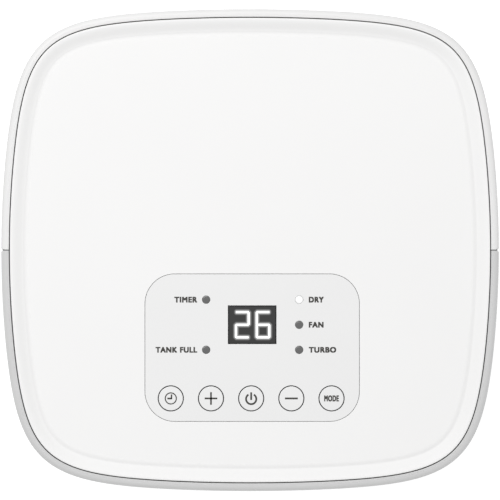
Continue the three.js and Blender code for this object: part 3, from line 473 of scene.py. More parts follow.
# %% One finish for each slot, and a few that a single piece has
WHITE_WALL = grey(0.69, 0.003)
# The rim's colour is painted lighter than the walls', as painted light on its top.
PAINTED_LIGHT_RIM = grey(0.765, 0.003)
finishes = {
    "casing_white": moulded("rear_white_abs", WHITE_WALL, 0.46),
    "casing_grey": moulded("light_grey_abs", grey(0.60), 0.44),
    # The panel's and the buttons' sides below their faces are painted dark as shade.
    "panel_grey": film_face_painted_shade("panel_film", grey(0.805, 0.001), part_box("control_panel")[1].z),
    "button_grey": film_face_painted_shade("button_film", grey(0.80, 0.001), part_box("button_power")[1].z),
    "display_black": moulded("black_housing", grey(0.012), 0.5),
    "light_lens": moulded("smoked_lens", grey(0.13), 0.2, grain=0.8 * MM, depth=0.004 * MM),
    "circuit_board": circuit_board("circuit_board"),
    "tank_clear": clear_plastic("tank_clear", (0.78, 0.86, 0.9, 1)),
    "grey_plastic": moulded("grey_plastic", grey(0.27, -0.02), 0.5, mottle=0.05),
    "black_plastic": moulded("black_plastic", grey(0.022), 0.45, mottle=0.2),
    "float_white": moulded("float_foam", grey(0.78, 0.01), 0.6, grain=1.2 * MM, depth=0.06 * MM),
    "rubber": rubbery("black_rubber"),
    "compressor_black": sprayed_steel("compressor_paint", grey(0.012)),
    "copper_tube": copper("copper_tube"),
    "coil_fins": coil_fins("coil_fins"),
    "zinc_steel": zinc_plate("zinc_plate"),
    "filter_mesh": woven_filter("filter_mesh"),
}
ink = printed_ink("dark_ink", (0.032, 0.030, 0.026, 1))
lit_white = glowing("lit_white", (1, 1, 1, 1), 0.9)
screw_steel = zinc_plate("screw_zinc")
# The rear casing: walls below a rim painted lighter, as painted light.
rear_shell_painted_rim = polished_rim_painted_light("rear_shell_abs", WHITE_WALL, PAINTED_LIGHT_RIM, cad_box[1].z)
print(len(bpy.data.materials), "materials")

# %% [markdown]
# ## Helpers for shapes
#
# Every moulding is a bmesh that operators shape, and ends as an object at the
# origin with its place in its mesh. `finished` does that last step once for
# all of them: it turns the faces outwards, shades the soft edges smooth, tells
# the frame which body the piece rides on, and hides the part it stands for.

# %% finished: from bmesh to piece
SOFT_ANGLE = math.radians(32)
made_pieces = []


def face_outwards(bm):
    """Turns every face of a closed shape outwards. A dish can come out inside out: its volume tells."""
    bmesh.ops.recalc_face_normals(bm, faces=bm.faces)
    if bm.calc_volume(signed=True) < 0:
        bmesh.ops.reverse_faces(bm, faces=bm.faces)


def finished(name, bm, material, body=None, stands_for=None):
    """Ends a bmesh as a piece that rides on its body."""
    face_outwards(bm)
    mesh = bpy.data.meshes.new(name)
    bm.to_mesh(mesh)
    bm.free()
    mesh.polygons.foreach_set("use_smooth", [True] * len(mesh.polygons))
    mesh.set_sharp_from_angle(angle=SOFT_ANGLE)
    mesh.materials.append(material)
    piece = bpy.data.objects.new(name, mesh)
    bpy.context.scene.collection.objects.link(piece)
    flat_faces_rule = piece.modifiers.new("flat faces rule", "WEIGHTED_NORMAL")
    flat_faces_rule.keep_sharp = True
    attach(piece, body or nodes[stands_for]["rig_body"])
    if stands_for:
        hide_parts(stands_for)
    made_pieces.append(piece)
    print(name, len(mesh.polygons), "faces")


def middle_of(node):
    """The middle of a part's box."""
    low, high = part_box(node)
    return (low + high) / 2


# %% Cutting, rounding and turning
def carve(bm, tool, operation="DIFFERENCE"):
    """Cuts one closed shape with another, and gives back the result as a bmesh."""
    pair = []
    for label, part in (("blank", bm), ("tool", tool)):
        face_outwards(part)
        mesh = bpy.data.meshes.new(label)
        part.to_mesh(mesh)
        part.free()
        pair.append(bpy.data.objects.new(label, mesh))
        bpy.context.scene.collection.objects.link(pair[-1])
    blank, cutter = pair
    modifier = blank.modifiers.new("cut", "BOOLEAN")
    modifier.operation = operation
    modifier.solver = "EXACT"
    modifier.object = cutter
    evaluated = blank.evaluated_get(bpy.context.evaluated_depsgraph_get())
    carved = bmesh.new()
    carved.from_mesh(evaluated.to_mesh())
    evaluated.to_mesh_clear()
    for thing in pair:
        bpy.data.meshes.remove(thing.data)
    bmesh.ops.remove_doubles(carved, verts=carved.verts, dist=0.002 * MM)
    return carved


def rounded_edges(bm, edges, width, segments, clamp=False):
    """Rounds edges by a width. Clamping keeps neighbouring rounds from crossing."""
    bmesh.ops.bevel(
        bm, geom=edges, offset=width, offset_type="OFFSET", segments=segments, profile=0.5,
        affect="EDGES", material=-1, clamp_overlap=clamp,
    )
    return bm


def soften(bm, width, where=lambda edge: True, sharper_than=50, segments=2, clamp=False):
    """Rounds the hard edges that a test picks out."""
    limit = math.radians(sharper_than)
    hard = [
        edge for edge in bm.edges
        if len(edge.link_faces) == 2 and edge.calc_face_angle(0) > limit and where(edge)
    ]
    return rounded_edges(bm, hard, width, segments, clamp)


def lies_at(place, axis=2):
    """A test for the edges that lie at one place along an axis."""
    return lambda edge: all(abs(vert.co[axis] - place) < 1e-6 for vert in edge.verts)


def block(low, high):
    """A box between two corners."""
    bm = bmesh.new()
    bmesh.ops.create_cube(bm, size=1)
    low, high = Vector(low), Vector(high)
    bmesh.ops.scale(bm, vec=high - low, verts=bm.verts)
    bmesh.ops.translate(bm, vec=(high + low) / 2, verts=bm.verts)
    return bm


def rounded_block(low, high, radius, axis=2, segments=8):
    """A box whose four edges along one axis are rounded."""
    bm = block(low, high)
    along = []
    for edge in bm.edges:
        start, end = (vert.co for vert in edge.verts)
        if abs((end - start).normalized()[axis]) > 0.9:
            along.append(edge)
    return rounded_edges(bm, along, radius, segments)


def turned(profile, centre=(0, 0, 0), steps=64):
    """A profile of (radius, height) spun round Z. It starts and ends on the axis."""
    bm = bmesh.new()
    verts = [bm.verts.new((radius, 0, height)) for radius, height in profile]
    edges = [bm.edges.new(pair) for pair in zip(verts, verts[1:])]
    bmesh.ops.spin(
        bm, geom=verts + edges, cent=(0, 0, 0), axis=(0, 0, 1), angle=2 * math.pi,
        steps=steps, use_merge=True,
    )
    bmesh.ops.remove_doubles(bm, verts=bm.verts, dist=0.001 * MM)
    bmesh.ops.translate(bm, vec=centre, verts=bm.verts)
    return bm


def rod(radius, start, end, segments=32):
    """A straight round bar between two points."""
    start, end = Vector(start), Vector(end)
    turn = (end - start).to_track_quat("Z", "Y").to_matrix().to_4x4()
    bm = bmesh.new()
    bmesh.ops.create_cone(
        bm, cap_ends=True, segments=segments, radius1=radius, radius2=radius,
        depth=(end - start).length, matrix=Matrix.Translation((start + end) / 2) @ turn,
    )
    return bm


def gathered(shapes):
    """Several closed shapes as one bmesh."""
    whole = bmesh.new()
    for shape in shapes:
        mesh = bpy.data.meshes.new("shape")
        shape.to_mesh(mesh)
        shape.free()
        whole.from_mesh(mesh)
        bpy.data.meshes.remove(mesh)
    return whole


# %% [markdown]
# ## The casing's outline
#
# Seen from above the casing is neither a square nor a circle: its sides bow
# gently and run into soft corners. One formula gives the radius for every
# direction, and a wall is that outline moved inwards. Each level of a moulding
# is a circle of vertices moved onto the outline, and bridging one level to the
# next makes the wall, so the wall follows the outline exactly.

# %% The outline as a formula
CORNER_POWER = 7.23  # how square the corners are
SIDE_BOW = 5.36  # how much the sides bow
FRONT_BOW = 6.21  # how much the front and the back bow
OUTLINE_STEPS = 224
CROWDING = 0.5  # steps lie closer together round the corners

casing_low, casing_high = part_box("front_casing")
half_x = casing_high.x
half_y = -casing_low.y
HEIGHT = casing_high.z
FOOT_HEIGHT = casing_low.z


def outline_at(turn):
    side = abs(math.cos(turn)) ** SIDE_BOW / half_x ** CORNER_POWER
    front = abs(math.sin(turn)) ** FRONT_BOW / half_y ** CORNER_POWER
    radius = (side + front) ** (-1 / CORNER_POWER)
    return Vector((radius * math.cos(turn), radius * math.sin(turn)))


def outline_point(turn, inset):
    """A point of the outline, moved inwards square to it."""
    step = 1e-4
    along = (outline_at(turn + step) - outline_at(turn - step)).normalized()
    return outline_at(turn) - Vector((along.y, -along.x)) * inset


def outline_depth(x, inset=0.0):
    """How far back the outline lies at a given x."""
    low, high = 0.0, math.pi / 2
    for _ in range(40):
        middle = (low + high) / 2
        low, high = (middle, high) if outline_point(middle, inset).x > x else (low, middle)
    return outline_point(low, inset).y


# %% Loops, rings and slabs on that outline
def outline_loop(bm, inset, height):
    """A circle of vertices moved onto the outline at one inset and height."""
    verts = bmesh.ops.create_circle(bm, segments=OUTLINE_STEPS, radius=1)["verts"]
    for vert in verts:
        turn = math.atan2(vert.co.y, vert.co.x)
        spot = outline_point(turn + CROWDING / 4 * math.sin(4 * turn), inset)
        vert.co = (spot.x, spot.y, height)
    return list({edge for vert in verts for edge in vert.link_edges})


def join_levels(bm, loops):
    """Bridges each level to the next. Two loops at one height have one middle, and bridging then
    can't tell which way round they run, so every level is lifted away while it is joined."""
    lift = Vector((0, 0, 0.5))
    for loop, following in zip(loops, loops[1:]):
        lifted = list({vert for edge in following for vert in edge.verts})
        bmesh.ops.translate(bm, vec=lift, verts=lifted)
        bmesh.ops.bridge_loops(bm, edges=loop + following)
        bmesh.ops.translate(bm, vec=-lift, verts=lifted)


def ring(profile):
    """A closed profile of (inset, height) carried round the outline."""
    bm = bmesh.new()
    loops = [outline_loop(bm, inset, height) for inset, height in profile]
    join_levels(bm, loops + loops[:1])
    return bm


SPARE = 4 * MM  # what a blank has above and below the cut that trims it


def band(outer, inner, bottom, top):
    """A straight wall between two insets, with height to spare above and below for a cut."""
    low, high = bottom - SPARE, top + SPARE
    return ring([(outer, low), (outer, high), (inner, high), (inner, low)])


def slab(profile):
    """A profile carried round the outline and closed flat at its first and last level."""
    bm = bmesh.new()
    loops = [outline_loop(bm, inset, height) for inset, height in profile]
    join_levels(bm, loops)
    for loop in (loops[0], loops[-1]):
        bmesh.ops.edgeloop_fill(bm, edges=loop)
    return bm


def arc(centre, radius, start, end, steps):
    """Points of (inset, height) along an arc, in degrees from pointing inwards."""
    points = []
    for i in range(steps + 1):
        turn = math.radians(start + (end - start) * i / steps)
        points.append((centre[0] + radius * math.cos(turn), centre[1] + radius * math.sin(turn)))
    return points


print("Outline of", OUTLINE_STEPS, "steps, half sizes", round(half_x / MM), round(half_y / MM))

# %% [markdown]
# ## The two casings
#
# Both casings are halves of one wall. It tucks in at the foot, rises straight,
# and turns over a rounded rim that stands around the cover. The wall is made
# whole as a ring, cut in two along the side seams, and the seam's outer edges
# are rounded, which is what makes the seam open into a small notch at the
# outside. The openings come last, by cutting with rounded blocks. A tongue
# behind the seam keeps the light out of it, as it does in a real casing, and
# its dark grey is painted shade in the seam.

# %% The wall's profile
WALL = 2.5 * MM
TUCK = 3 * MM
TUCK_HEIGHT = 32 * MM
TUCKED_BELOW = 30 * MM  # below here the wall clearly draws in
RIM = 4 * MM
RIM_ROUND = 2.4 * MM
RIM_INNER_ROUND = 0.4 * MM
SEAM = 0.25 * MM
SEAM_ROUND = 0.9 * MM
cover_low, cover_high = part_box("top_cover")
LEDGE = cover_low.z - 0.3 * MM
LEDGE_WIDTH = 4 * MM


def tuck(bottom, rise):
    """The curve by which the wall draws in at its foot."""
    return [(TUCK * (1 - i / 7) ** 2, bottom + rise * i / 7) for i in range(8)]


def inwards(profile, thickness):
    """The inner side of a wall: the outer side moved inwards, and run back down."""
    return [(inset + thickness, height) for inset, height in reversed(profile)]


def wall_profile():
    foot = tuck(FOOT_HEIGHT, TUCK_HEIGHT)
    rim = arc((RIM_ROUND, HEIGHT - RIM_ROUND), RIM_ROUND, 180, 90, 8)
    lip = arc((RIM - RIM_INNER_ROUND, HEIGHT - RIM_INNER_ROUND), RIM_INNER_ROUND, 90, 0, 3)
    ledge = [
        (RIM, LEDGE), (RIM + LEDGE_WIDTH, LEDGE),
        (RIM + LEDGE_WIDTH, LEDGE - 2 * MM), (WALL, LEDGE - 6 * MM),
    ]
    return foot + rim + lip + ledge + inwards(foot, WALL)


def cut_across(bm, y, keep):
    """Cuts a ring square to Y, keeps the side that `keep` points to, and closes the cut ends."""
    cut = bmesh.ops.bisect_plane(
        bm, geom=bm.verts[:] + bm.edges[:] + bm.faces[:], dist=1e-7,
        plane_co=(0, y, 0), plane_no=(0, keep, 0), clear_inner=True,
    )
    ends = [part for part in cut["geom_cut"] if isinstance(part, bmesh.types.BMEdge)]
    bmesh.ops.holes_fill(bm, edges=ends, sides=0)


def half_wall(side):
    """The front (-1) or rear (1) half of the wall, with its seam edges rounded."""
    bm = ring(wall_profile())
    cut_across(bm, side * SEAM, side)
    on_seam = lies_at(side * SEAM, axis=1)

    def outside(spot):
        drawn_in = TUCK if spot.z < TUCKED_BELOW else 0
        return abs(spot.x) > half_x - RIM_ROUND * 0.75 - drawn_in

    def outer_seam(edge):
        return on_seam(edge) and all(outside(vert.co) for vert in edge.verts)

    return soften(bm, SEAM_ROUND, outer_seam, sharper_than=30, segments=4)


# %% Openings in the wall
GAP = 0.6 * MM
CUT_FROM = 60 * MM  # a cut through a wall starts well inside the casing
CUT_TO = 300 * MM  # and ends well outside it
OPENING_ROUND = 0.5 * MM


def opening(node, corner, axis, side, gap=0.0):
    """A rounded block through the wall on one side, as wide and high as a part and a gap round it."""
    low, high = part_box(node)
    low, high = low.copy(), high.copy()
    for i in range(3):
        low[i] -= gap
        high[i] += gap
    low[axis], high[axis] = (CUT_FROM, CUT_TO) if side > 0 else (-CUT_TO, -CUT_FROM)
    return rounded_block(low, high, corner + gap, axis=axis)


def on_opening(edge):
    """An edge of a cut, on the wall's outer face, clear of the foot, the rim and the seam."""
    for spot in (vert.co for vert in edge.verts):
        reach = outline_at(math.atan2(spot.y, spot.x)).length
        at_face = Vector((spot.x, spot.y)).length > reach - 1.2 * MM or spot.z < FOOT_HEIGHT + TUCK_HEIGHT
        clear = FOOT_HEIGHT + 1 * MM < spot.z < HEIGHT - 12 * MM and abs(spot.y) > 2 * MM
        if not (at_face and clear):
            return False
    return True


# %% The front casing
FASCIA_CORNER = 7 * MM
front = carve(half_wall(-1), opening("tank_fascia", FASCIA_CORNER, 1, -1, GAP))
soften(front, OPENING_ROUND, on_opening)
finished("casing_front_half", front, finishes["casing_grey"], stands_for="front_casing")

# %% The rear casing
GRILLE_CORNER = 7 * MM
LOUVRE_CORNER = 4 * MM
CUP_CORNER = 9 * MM
CUP_WALL = 2 * MM
GLAND_HOLE = 7.3 * MM
PLUG_HOLE = 9.2 * MM
cup_low, cup_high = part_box("handle_cup_right")


def cup_mouth(side):
    low = Vector((CUT_FROM, cup_low.y + CUP_WALL, cup_low.z + CUP_WALL))
    high = Vector((CUT_TO, cup_high.y - CUP_WALL, cup_high.z - CUP_WALL))
    if side < 0:
        low.x, high.x = -high.x, -low.x
    return rounded_block(low, high, CUP_CORNER, axis=0)


def round_hole(node, radius):
    """A hole through the back round a part's middle."""
    at = middle_of(node)
    return rod(radius, (at.x, CUT_FROM, at.z), (at.x, CUT_TO, at.z), 40)


rear_cuts = [
    opening("inlet_grille", GRILLE_CORNER, 1, 1, GAP),
    opening("outlet_louvre", LOUVRE_CORNER, 0, 1, GAP),
    cup_mouth(-1), cup_mouth(1),
    round_hole("cord_gland", GLAND_HOLE), round_hole("drain_plug", PLUG_HOLE),
]
rear = half_wall(1)
for tool in rear_cuts:
    rear = carve(rear, tool)
soften(rear, OPENING_ROUND, on_opening)
finished("casing_rear_half", rear, rear_shell_painted_rim, stands_for="rear_casing")


# %% The tongue inside the seam
TONGUE_INSET = 0.8 * MM  # how far the casing's face stands in front of it
TONGUE_BACK = 0.6 * MM  # how far the casing's inner side stands behind it
TONGUE_DROP = 1.5 * MM
TONGUE_RISE = 1 * MM
TONGUE_REACH = 2.5 * MM


def tongue_profile():
    """A thinner wall inside the wall, up to just below the rim's top."""
    foot = tuck(FOOT_HEIGHT + TONGUE_RISE, TUCK_HEIGHT - TONGUE_RISE)
    outside = [(inset + TONGUE_INSET, height) for inset, height in foot]
    top = HEIGHT - TONGUE_DROP
    back = RIM - TONGUE_BACK
    rim = [(TONGUE_INSET, top), (back, top), (back, LEDGE), (WALL - TONGUE_BACK, LEDGE - 5 * MM)]
    return outside + rim + inwards(foot, WALL - TONGUE_BACK)


tongue = ring(tongue_profile())
for side in (-1, 1):
    cut_across(tongue, side * TONGUE_REACH, -side)
# The tongue's dark grey, darker than both casings, is painted shade in the seam.
finished("seam_tongue", tongue, finishes["grey_plastic"], body=nodes["front_casing"]["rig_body"])

# %% [markdown]
# ## The dished cover
#
# The cover is one shallow tray. From its edge beside the rim it falls softly
# to a flat floor, with a slight gutter where the slope ends. That is the only
# relief on the whole top, so the slope is drawn halfway between a straight one
# and a cosine step rather than as one sloping face. A skirt hangs below the
# edge, behind the dark line of the gap. The panel sits in a recess of its own
# outline.

# %% The cover
COVER_EDGE = 4.44 * MM  # from the casing's outside
COVER_BORDER = 9.2 * MM
GUTTER = 2.2 * MM  # the small rise where the slope meets the floor
GUTTER_DEPTH = 0.2 * MM
COVER_THICKNESS = 2.5 * MM
EDGE_ROUND = 0.5 * MM
SKIRT = 3.6 * MM  # where the tray's underside meets its skirt, below the edge's top
FALL_STEPS = 14
RISE_STEPS = 6
panel_low, panel_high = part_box("control_panel")
cover_plane = panel_high.z
edge_top = cover_high.z


def soft_step(share):
    """Falls from 1 to 0 along a cosine."""
    return (1 + math.cos(math.pi * share)) / 2


def cover_profile():
    """The top of the tray from its skirt to its floor."""
    edge = arc((COVER_EDGE + EDGE_ROUND, edge_top - EDGE_ROUND), EDGE_ROUND, 180, 90, 4)
    start = COVER_EDGE + 2 * EDGE_ROUND
    width = COVER_BORDER - 2 * EDGE_ROUND - GUTTER
    bottom = cover_plane - GUTTER_DEPTH
    fall = []
    for i in range(1, FALL_STEPS + 1):
        share = i / FALL_STEPS
        left = 0.5 * soft_step(share) + 0.5 * (1 - share)
        fall.append((start + width * i / FALL_STEPS, bottom + (edge_top - bottom) * left))
    rise = []
    for i in range(1, RISE_STEPS + 1):
        height = cover_plane - GUTTER_DEPTH * soft_step(i / RISE_STEPS)
        rise.append((start + width + GUTTER * i / RISE_STEPS, height))
    return [(COVER_EDGE, cover_low.z)] + edge + [(start, edge_top)] + fall + rise


def cover_finish():
    """White ABS with less gloss, and painted shade where the gutter dips below the floor."""
    finish = Finish("cover_white_abs")
    cloud = finish.noise(CLOUD_SIZE, 3)
    # The gutter's dip is painted darker, as painted shade.
    painted_gutter_shade = ((cover_plane - finish.axis(2)) / GUTTER_DEPTH).clamped()
    white = finish.mixed(cloud, grey(0.84, 0.003), grey(0.857, 0.003))
    return finish.end(
        Base_Color=finish.mixed(painted_gutter_shade, white, grey(0.79, 0.003)),
        Roughness=0.5 + (cloud - 0.5) * GLOSS_WANDER,
        Specular_IOR_Level=0.22,
        Normal=finish.bump(finish.noise(GRAIN, 2), GRAIN_DEPTH),
    )


inner = COVER_EDGE + WALL
underside = [
    (inner, cover_low.z), (inner, edge_top - SKIRT),
    (COVER_EDGE + COVER_BORDER, cover_plane - COVER_THICKNESS),
]
cover = slab(cover_profile()[::-1] + underside)

# %% The recess for the panel
PANEL_CORNER = 15 * MM
PANEL_GAP = 0.2 * MM
PANEL_LEDGE = 3 * MM
ABOVE = HEIGHT + 10 * MM  # a cut from above starts here
FAR_BELOW = 300 * MM  # and one right through the cover ends here


def panel_outline(grow, bottom, top):
    """A block with the panel's outline, larger by `grow` all round."""
    low = Vector((panel_low.x - grow, panel_low.y - grow, bottom))
    high = Vector((panel_high.x + grow, panel_high.y + grow, top))
    return rounded_block(low, high, PANEL_CORNER + grow, axis=2, segments=20)


def on_recess(edge):
    """An edge of the recess, on the cover's floor."""
    return all(
        abs(vert.co.z - cover_plane) < 0.01 * MM
        and panel_low.x - 1 * MM < vert.co.x < panel_high.x + 1 * MM
        and panel_low.y - 1 * MM < vert.co.y < panel_high.y + 1 * MM
        for vert in edge.verts
    )


cover = carve(cover, panel_outline(PANEL_GAP, panel_low.z - 0.3 * MM, ABOVE))
cover = carve(cover, panel_outline(-PANEL_LEDGE, FAR_BELOW, ABOVE))
soften(cover, 0.18 * MM, on_recess)
finished("cover_tray", cover, cover_finish(), stands_for="top_cover")

# %% [markdown]
# ## The control panel
#
# The panel is a pale film-faced plate, flush with the cover, with a thin line
# of shadow round it: its sides below the face are painted dark as that shade.
# It has a hole for each button, for each light and for the display. All of them
# are cut at once, and the top edges get a hair of a bevel, which catches the
# light as a real edge does.

# %% The plate and its holes
BUTTONS = ["timer", "plus", "power", "minus", "mode"]
LIGHTS = ["timer", "tank_full", "dry", "fan", "turbo"]
BUTTON_GAP = 0.48 * MM
LIGHT_GAP = 0.08 * MM
WINDOW_GAP = 0.08 * MM
HAIR_ROUND = 0.12 * MM
DRILL_FROM = 390 * MM  # well below the plate
DRILL_TO = 420 * MM  # well above it
BUTTON_RADIUS = 6.12 * MM
LIGHT_RADIUS = (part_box("light_dry")[1].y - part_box("light_dry")[0].y) / 2
window_low, window_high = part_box("display_window")

plate = panel_outline(0, panel_low.z, panel_high.z)
margin = Vector((WINDOW_GAP, WINDOW_GAP, 10 * MM))
holes = []
for kind, names, radius, steps in (
    ("button", BUTTONS, BUTTON_RADIUS + BUTTON_GAP, 64),
    ("light", LIGHTS, LIGHT_RADIUS + LIGHT_GAP, 32),
):
    for name in names:
        at = middle_of(f"{kind}_{name}")
        holes.append(rod(radius, (at.x, at.y, DRILL_FROM), (at.x, at.y, DRILL_TO), steps))
holes.append(block(window_low - margin, window_high + margin))
plate = carve(plate, gathered(holes))
soften(plate, HAIR_ROUND, lies_at(panel_high.z))
# The plate's sides and the walls of its holes are painted dark as shade, by its finish.
finished("panel_plate", plate, finishes["panel_grey"], stands_for="control_panel")

# %% [markdown]
# ## Buttons
#
# Each button is a round cap with a collar below the plate, and all of it below
# the face is painted dark as the shade in the gap round the cap. The profile is
# spun round Z, with a rounded edge at the top. What is printed on a cap rides on
# that cap's own body, so it goes down with the button. The marks are thin
# closed slabs on the cap's face, and text is made a mesh before it is placed.

# %% Caps
collar_radius = (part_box("button_power")[1].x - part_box("button_power")[0].x) / 2
button_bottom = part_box("button_power")[0].z
button_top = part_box("button_power")[1].z
COLLAR_THICKNESS = 1.4 * MM
CAP_ROUND = 0.3 * MM


def cap_profile():
    bottom = button_bottom
    collar_top = bottom + COLLAR_THICKNESS
    edge = arc((BUTTON_RADIUS - CAP_ROUND, button_top - CAP_ROUND), CAP_ROUND, 0, 90, 4)
    return [(0, bottom), (collar_radius, bottom), (collar_radius, collar_top),
            (BUTTON_RADIUS, collar_top)] + edge + [(0, button_top)]


for name in BUTTONS:
    at = middle_of(f"button_{name}")
    cap = turned(cap_profile(), (at.x, at.y, 0), 64)
    # The cap's sides below its face are painted dark as shade, by its finish.
    finished(f"cap_{name}", cap, finishes["button_grey"], stands_for=f"button_{name}")

# %% Printed marks
INK_THICKNESS = 0.04 * MM
LETTER_SPACING = 1.14
BOLD_RISE = 0.8  # upright strokes gain more than level ones
LAYER_STEP = 0.13


def bar_mark(centre, length, width, upright=False):
    """A straight printed stroke, long in X, or in Y if it is upright."""
    half = Vector((width, length) if upright else (length, width)) / 2
    low = (centre[0] - half.x, centre[1] - half.y, centre[2] - INK_THICKNESS)
    high = (centre[0] + half.x, centre[1] + half.y, centre[2] + INK_THICKNESS)
    return block(low, high)


def ring_mark(centre, radius, stroke, start=0.0, sweep=360.0):
    """A printed ring, or an arc of one: a small section spun round Z."""
    bm = bmesh.new()
    corners = [
        (radius + side * stroke / 2, 0, up * INK_THICKNESS)
        for side, up in ((-1, -1), (1, -1), (1, 1), (-1, 1))
    ]
    verts = [bm.verts.new(corner) for corner in corners]
    edges = [bm.edges.new(pair) for pair in zip(verts, verts[1:] + verts[:1])]
    whole = sweep >= 360
    turn = Matrix.Rotation(math.radians(start), 3, "Z")
    bmesh.ops.rotate(bm, verts=verts, cent=(0, 0, 0), matrix=turn)
    bmesh.ops.spin(
        bm, geom=verts + edges, cent=(0, 0, 0), axis=(0, 0, 1),
        angle=math.radians(sweep), steps=48, use_merge=whole,
    )
    if not whole:
        ends = [edge for edge in bm.edges if edge.is_boundary]
        bmesh.ops.holes_fill(bm, edges=ends, sides=4)
    bmesh.ops.translate(bm, vec=centre, verts=bm.verts)
    return bm


def text_mesh(words):
    """The words as a closed mesh one unit high, its middle at the origin."""
    curve = bpy.data.curves.new(words, "FONT")
    curve.body = words
    curve.extrude = 0.1
    curve.resolution_u = 4
    curve.space_character = LETTER_SPACING
    holder = bpy.data.objects.new(words, curve)
    bpy.context.scene.collection.objects.link(holder)
    evaluated = holder.evaluated_get(bpy.context.evaluated_depsgraph_get())
    bm = bmesh.new()
    bm.from_mesh(evaluated.to_mesh())
    evaluated.to_mesh_clear()
    bpy.data.objects.remove(holder)
    bmesh.ops.remove_doubles(bm, verts=bm.verts, dist=1e-5)
    spots = [vert.co for vert in bm.verts]
    low = Vector(min(spot[i] for spot in spots) for i in range(3))
    high = Vector(max(spot[i] for spot in spots) for i in range(3))
    bmesh.ops.translate(bm, vec=-(low + high) / 2, verts=bm.verts)
    size = high - low
    bmesh.ops.scale(bm, vec=(1 / size.x, 1 / size.y, 1 / size.z), verts=bm.verts)
    return bm


def lettering(words, width, height, anchor, align="LEFT", bold=0.42 * MM):
    """Printed bold capitals: the text five times, moved by the boldness. Each layer is a little
    thinner than the last, so that no two faces lie in one plane."""
    layers = []
    rise = bold * BOLD_RISE
    for order, (across, up) in enumerate(((0, 0), (-1, -1), (1, 1), (-1, 1), (1, -1))):
        copy = text_mesh(words)
        thickness = (2 - LAYER_STEP * order) * INK_THICKNESS
        bmesh.ops.scale(copy, vec=(width - bold, height - rise, thickness), verts=copy.verts)
        bmesh.ops.translate(copy, vec=(across * bold / 2, up * rise / 2, 0), verts=copy.verts)
        layers.append(copy)
    letters = gathered(layers)
    shift = {"LEFT": width / 2, "RIGHT": -width / 2, "CENTRE": 0}[align]
    bmesh.ops.translate(letters, vec=Vector(anchor) + Vector((shift, 0, 0)), verts=letters.verts)
    return letters


# %% The symbols on the caps
def on_cap(name, dx=0.0, dy=0.0):
    at = middle_of(f"button_{name}")
    return (at.x + dx * MM, at.y + dy * MM, button_top)


symbols = {
    "timer": [
        ring_mark(on_cap("timer"), 2.8 * MM, 0.56 * MM),
        bar_mark(on_cap("timer", -0.65, -0.05), 2.2 * MM, 0.85 * MM),
        bar_mark(on_cap("timer", 0.35, 0.85), 2.4 * MM, 0.75 * MM, upright=True),
    ],
    "plus": [
        bar_mark(on_cap("plus"), 6.4 * MM, 0.86 * MM),
        bar_mark(on_cap("plus"), 6.4 * MM, 0.86 * MM, upright=True),
    ],
    "power": [
        ring_mark(on_cap("power", 0, -0.3), 2.6 * MM, 0.92 * MM, start=122, sweep=296),
        bar_mark(on_cap("power", 0, 1.15), 3.9 * MM, 0.92 * MM, upright=True),
    ],
    "minus": [bar_mark(on_cap("minus"), 6.5 * MM, 0.9 * MM)],
    "mode": [lettering("MODE", 7.5 * MM, 3.15 * MM, on_cap("mode"), "CENTRE", bold=0.34 * MM)],
}
for name, marks in symbols.items():
    finished(f"mark_{name}", gathered(marks), ink, body=nodes[f"button_{name}"]["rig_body"])

# %% [markdown]
# ## Lights, legends and the display
#
# The lights are small domed lenses. Four are dark and one is lit. The legends
# beside them are printed on the plate. The display is a smoked window over two
# seven-segment digits: the segments are bars that give light, and the window's
# own material glows around them, falling off with the distance to the nearest
# segment, as light does that is scattered in the plastic.

# %% The lights
LENS_PROUD = 0.12 * MM
LENS_SHOULDER = 0.5 * MM
light_bottom, light_top = (corner.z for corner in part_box("light_dry"))


def lens_profile():
    return [
        (0, light_bottom), (LIGHT_RADIUS, light_bottom), (LIGHT_RADIUS, light_top - 0.05 * MM),
        (LIGHT_RADIUS - 0.08 * MM, light_top),
        (LIGHT_RADIUS - LENS_SHOULDER, light_top + LENS_PROUD * 0.6),
        (LIGHT_RADIUS - 2 * LENS_SHOULDER, light_top + LENS_PROUD * 0.9),
        (0, light_top + LENS_PROUD),
    ]


for name in LIGHTS:
    at = middle_of(f"light_{name}")
    lens = turned(lens_profile(), (at.x, at.y, 0), 32)
    look = lit_lamp("lit_lamp", at, LIGHT_RADIUS) if name == "dry" else finishes["light_lens"]
    finished(f"lens_{name}", lens, look, stands_for=f"light_{name}")

# %% The legends
CAPITAL = 2.95 * MM
LEGEND_SPACE = 4.7 * MM  # from a light's middle to the words
LEGEND_SHIFT = 0.17 * MM  # the whole print stands this far to the right
# The words of each legend, its width in mm, and the end that stands next to its light.
LEGENDS = {
    "timer": ("TIMER", 11.6, "RIGHT"),
    "tank_full": ("TANK FULL", 21.1, "RIGHT"),
    "dry": ("DRY", 7.6, "LEFT"),
    "fan": ("FAN", 7.5, "LEFT"),
    "turbo": ("TURBO", 13.9, "LEFT"),
}
for name, (words, width, align) in LEGENDS.items():
    at = middle_of(f"light_{name}")
    side = -1 if align == "RIGHT" else 1
    anchor = (at.x + side * LEGEND_SPACE + LEGEND_SHIFT, at.y, panel_high.z)
    letters = lettering(words, width * MM, CAPITAL, anchor, align)
    finished(f"legend_{name}", letters, ink, body=nodes["control_panel"]["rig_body"])

# %% The segments that are lit
DIGIT_PITCH = 10.5 * MM
DIGIT_WIDTH = 7.1 * MM
DIGIT_HEIGHT = 13.5 * MM
STROKE = 0.7 * MM
DIGIT_SHIFT = 0.25 * MM
window_middle = middle_of("display_window")
reach_x = (DIGIT_WIDTH - STROKE) / 2
reach_y = (DIGIT_HEIGHT - STROKE) / 4
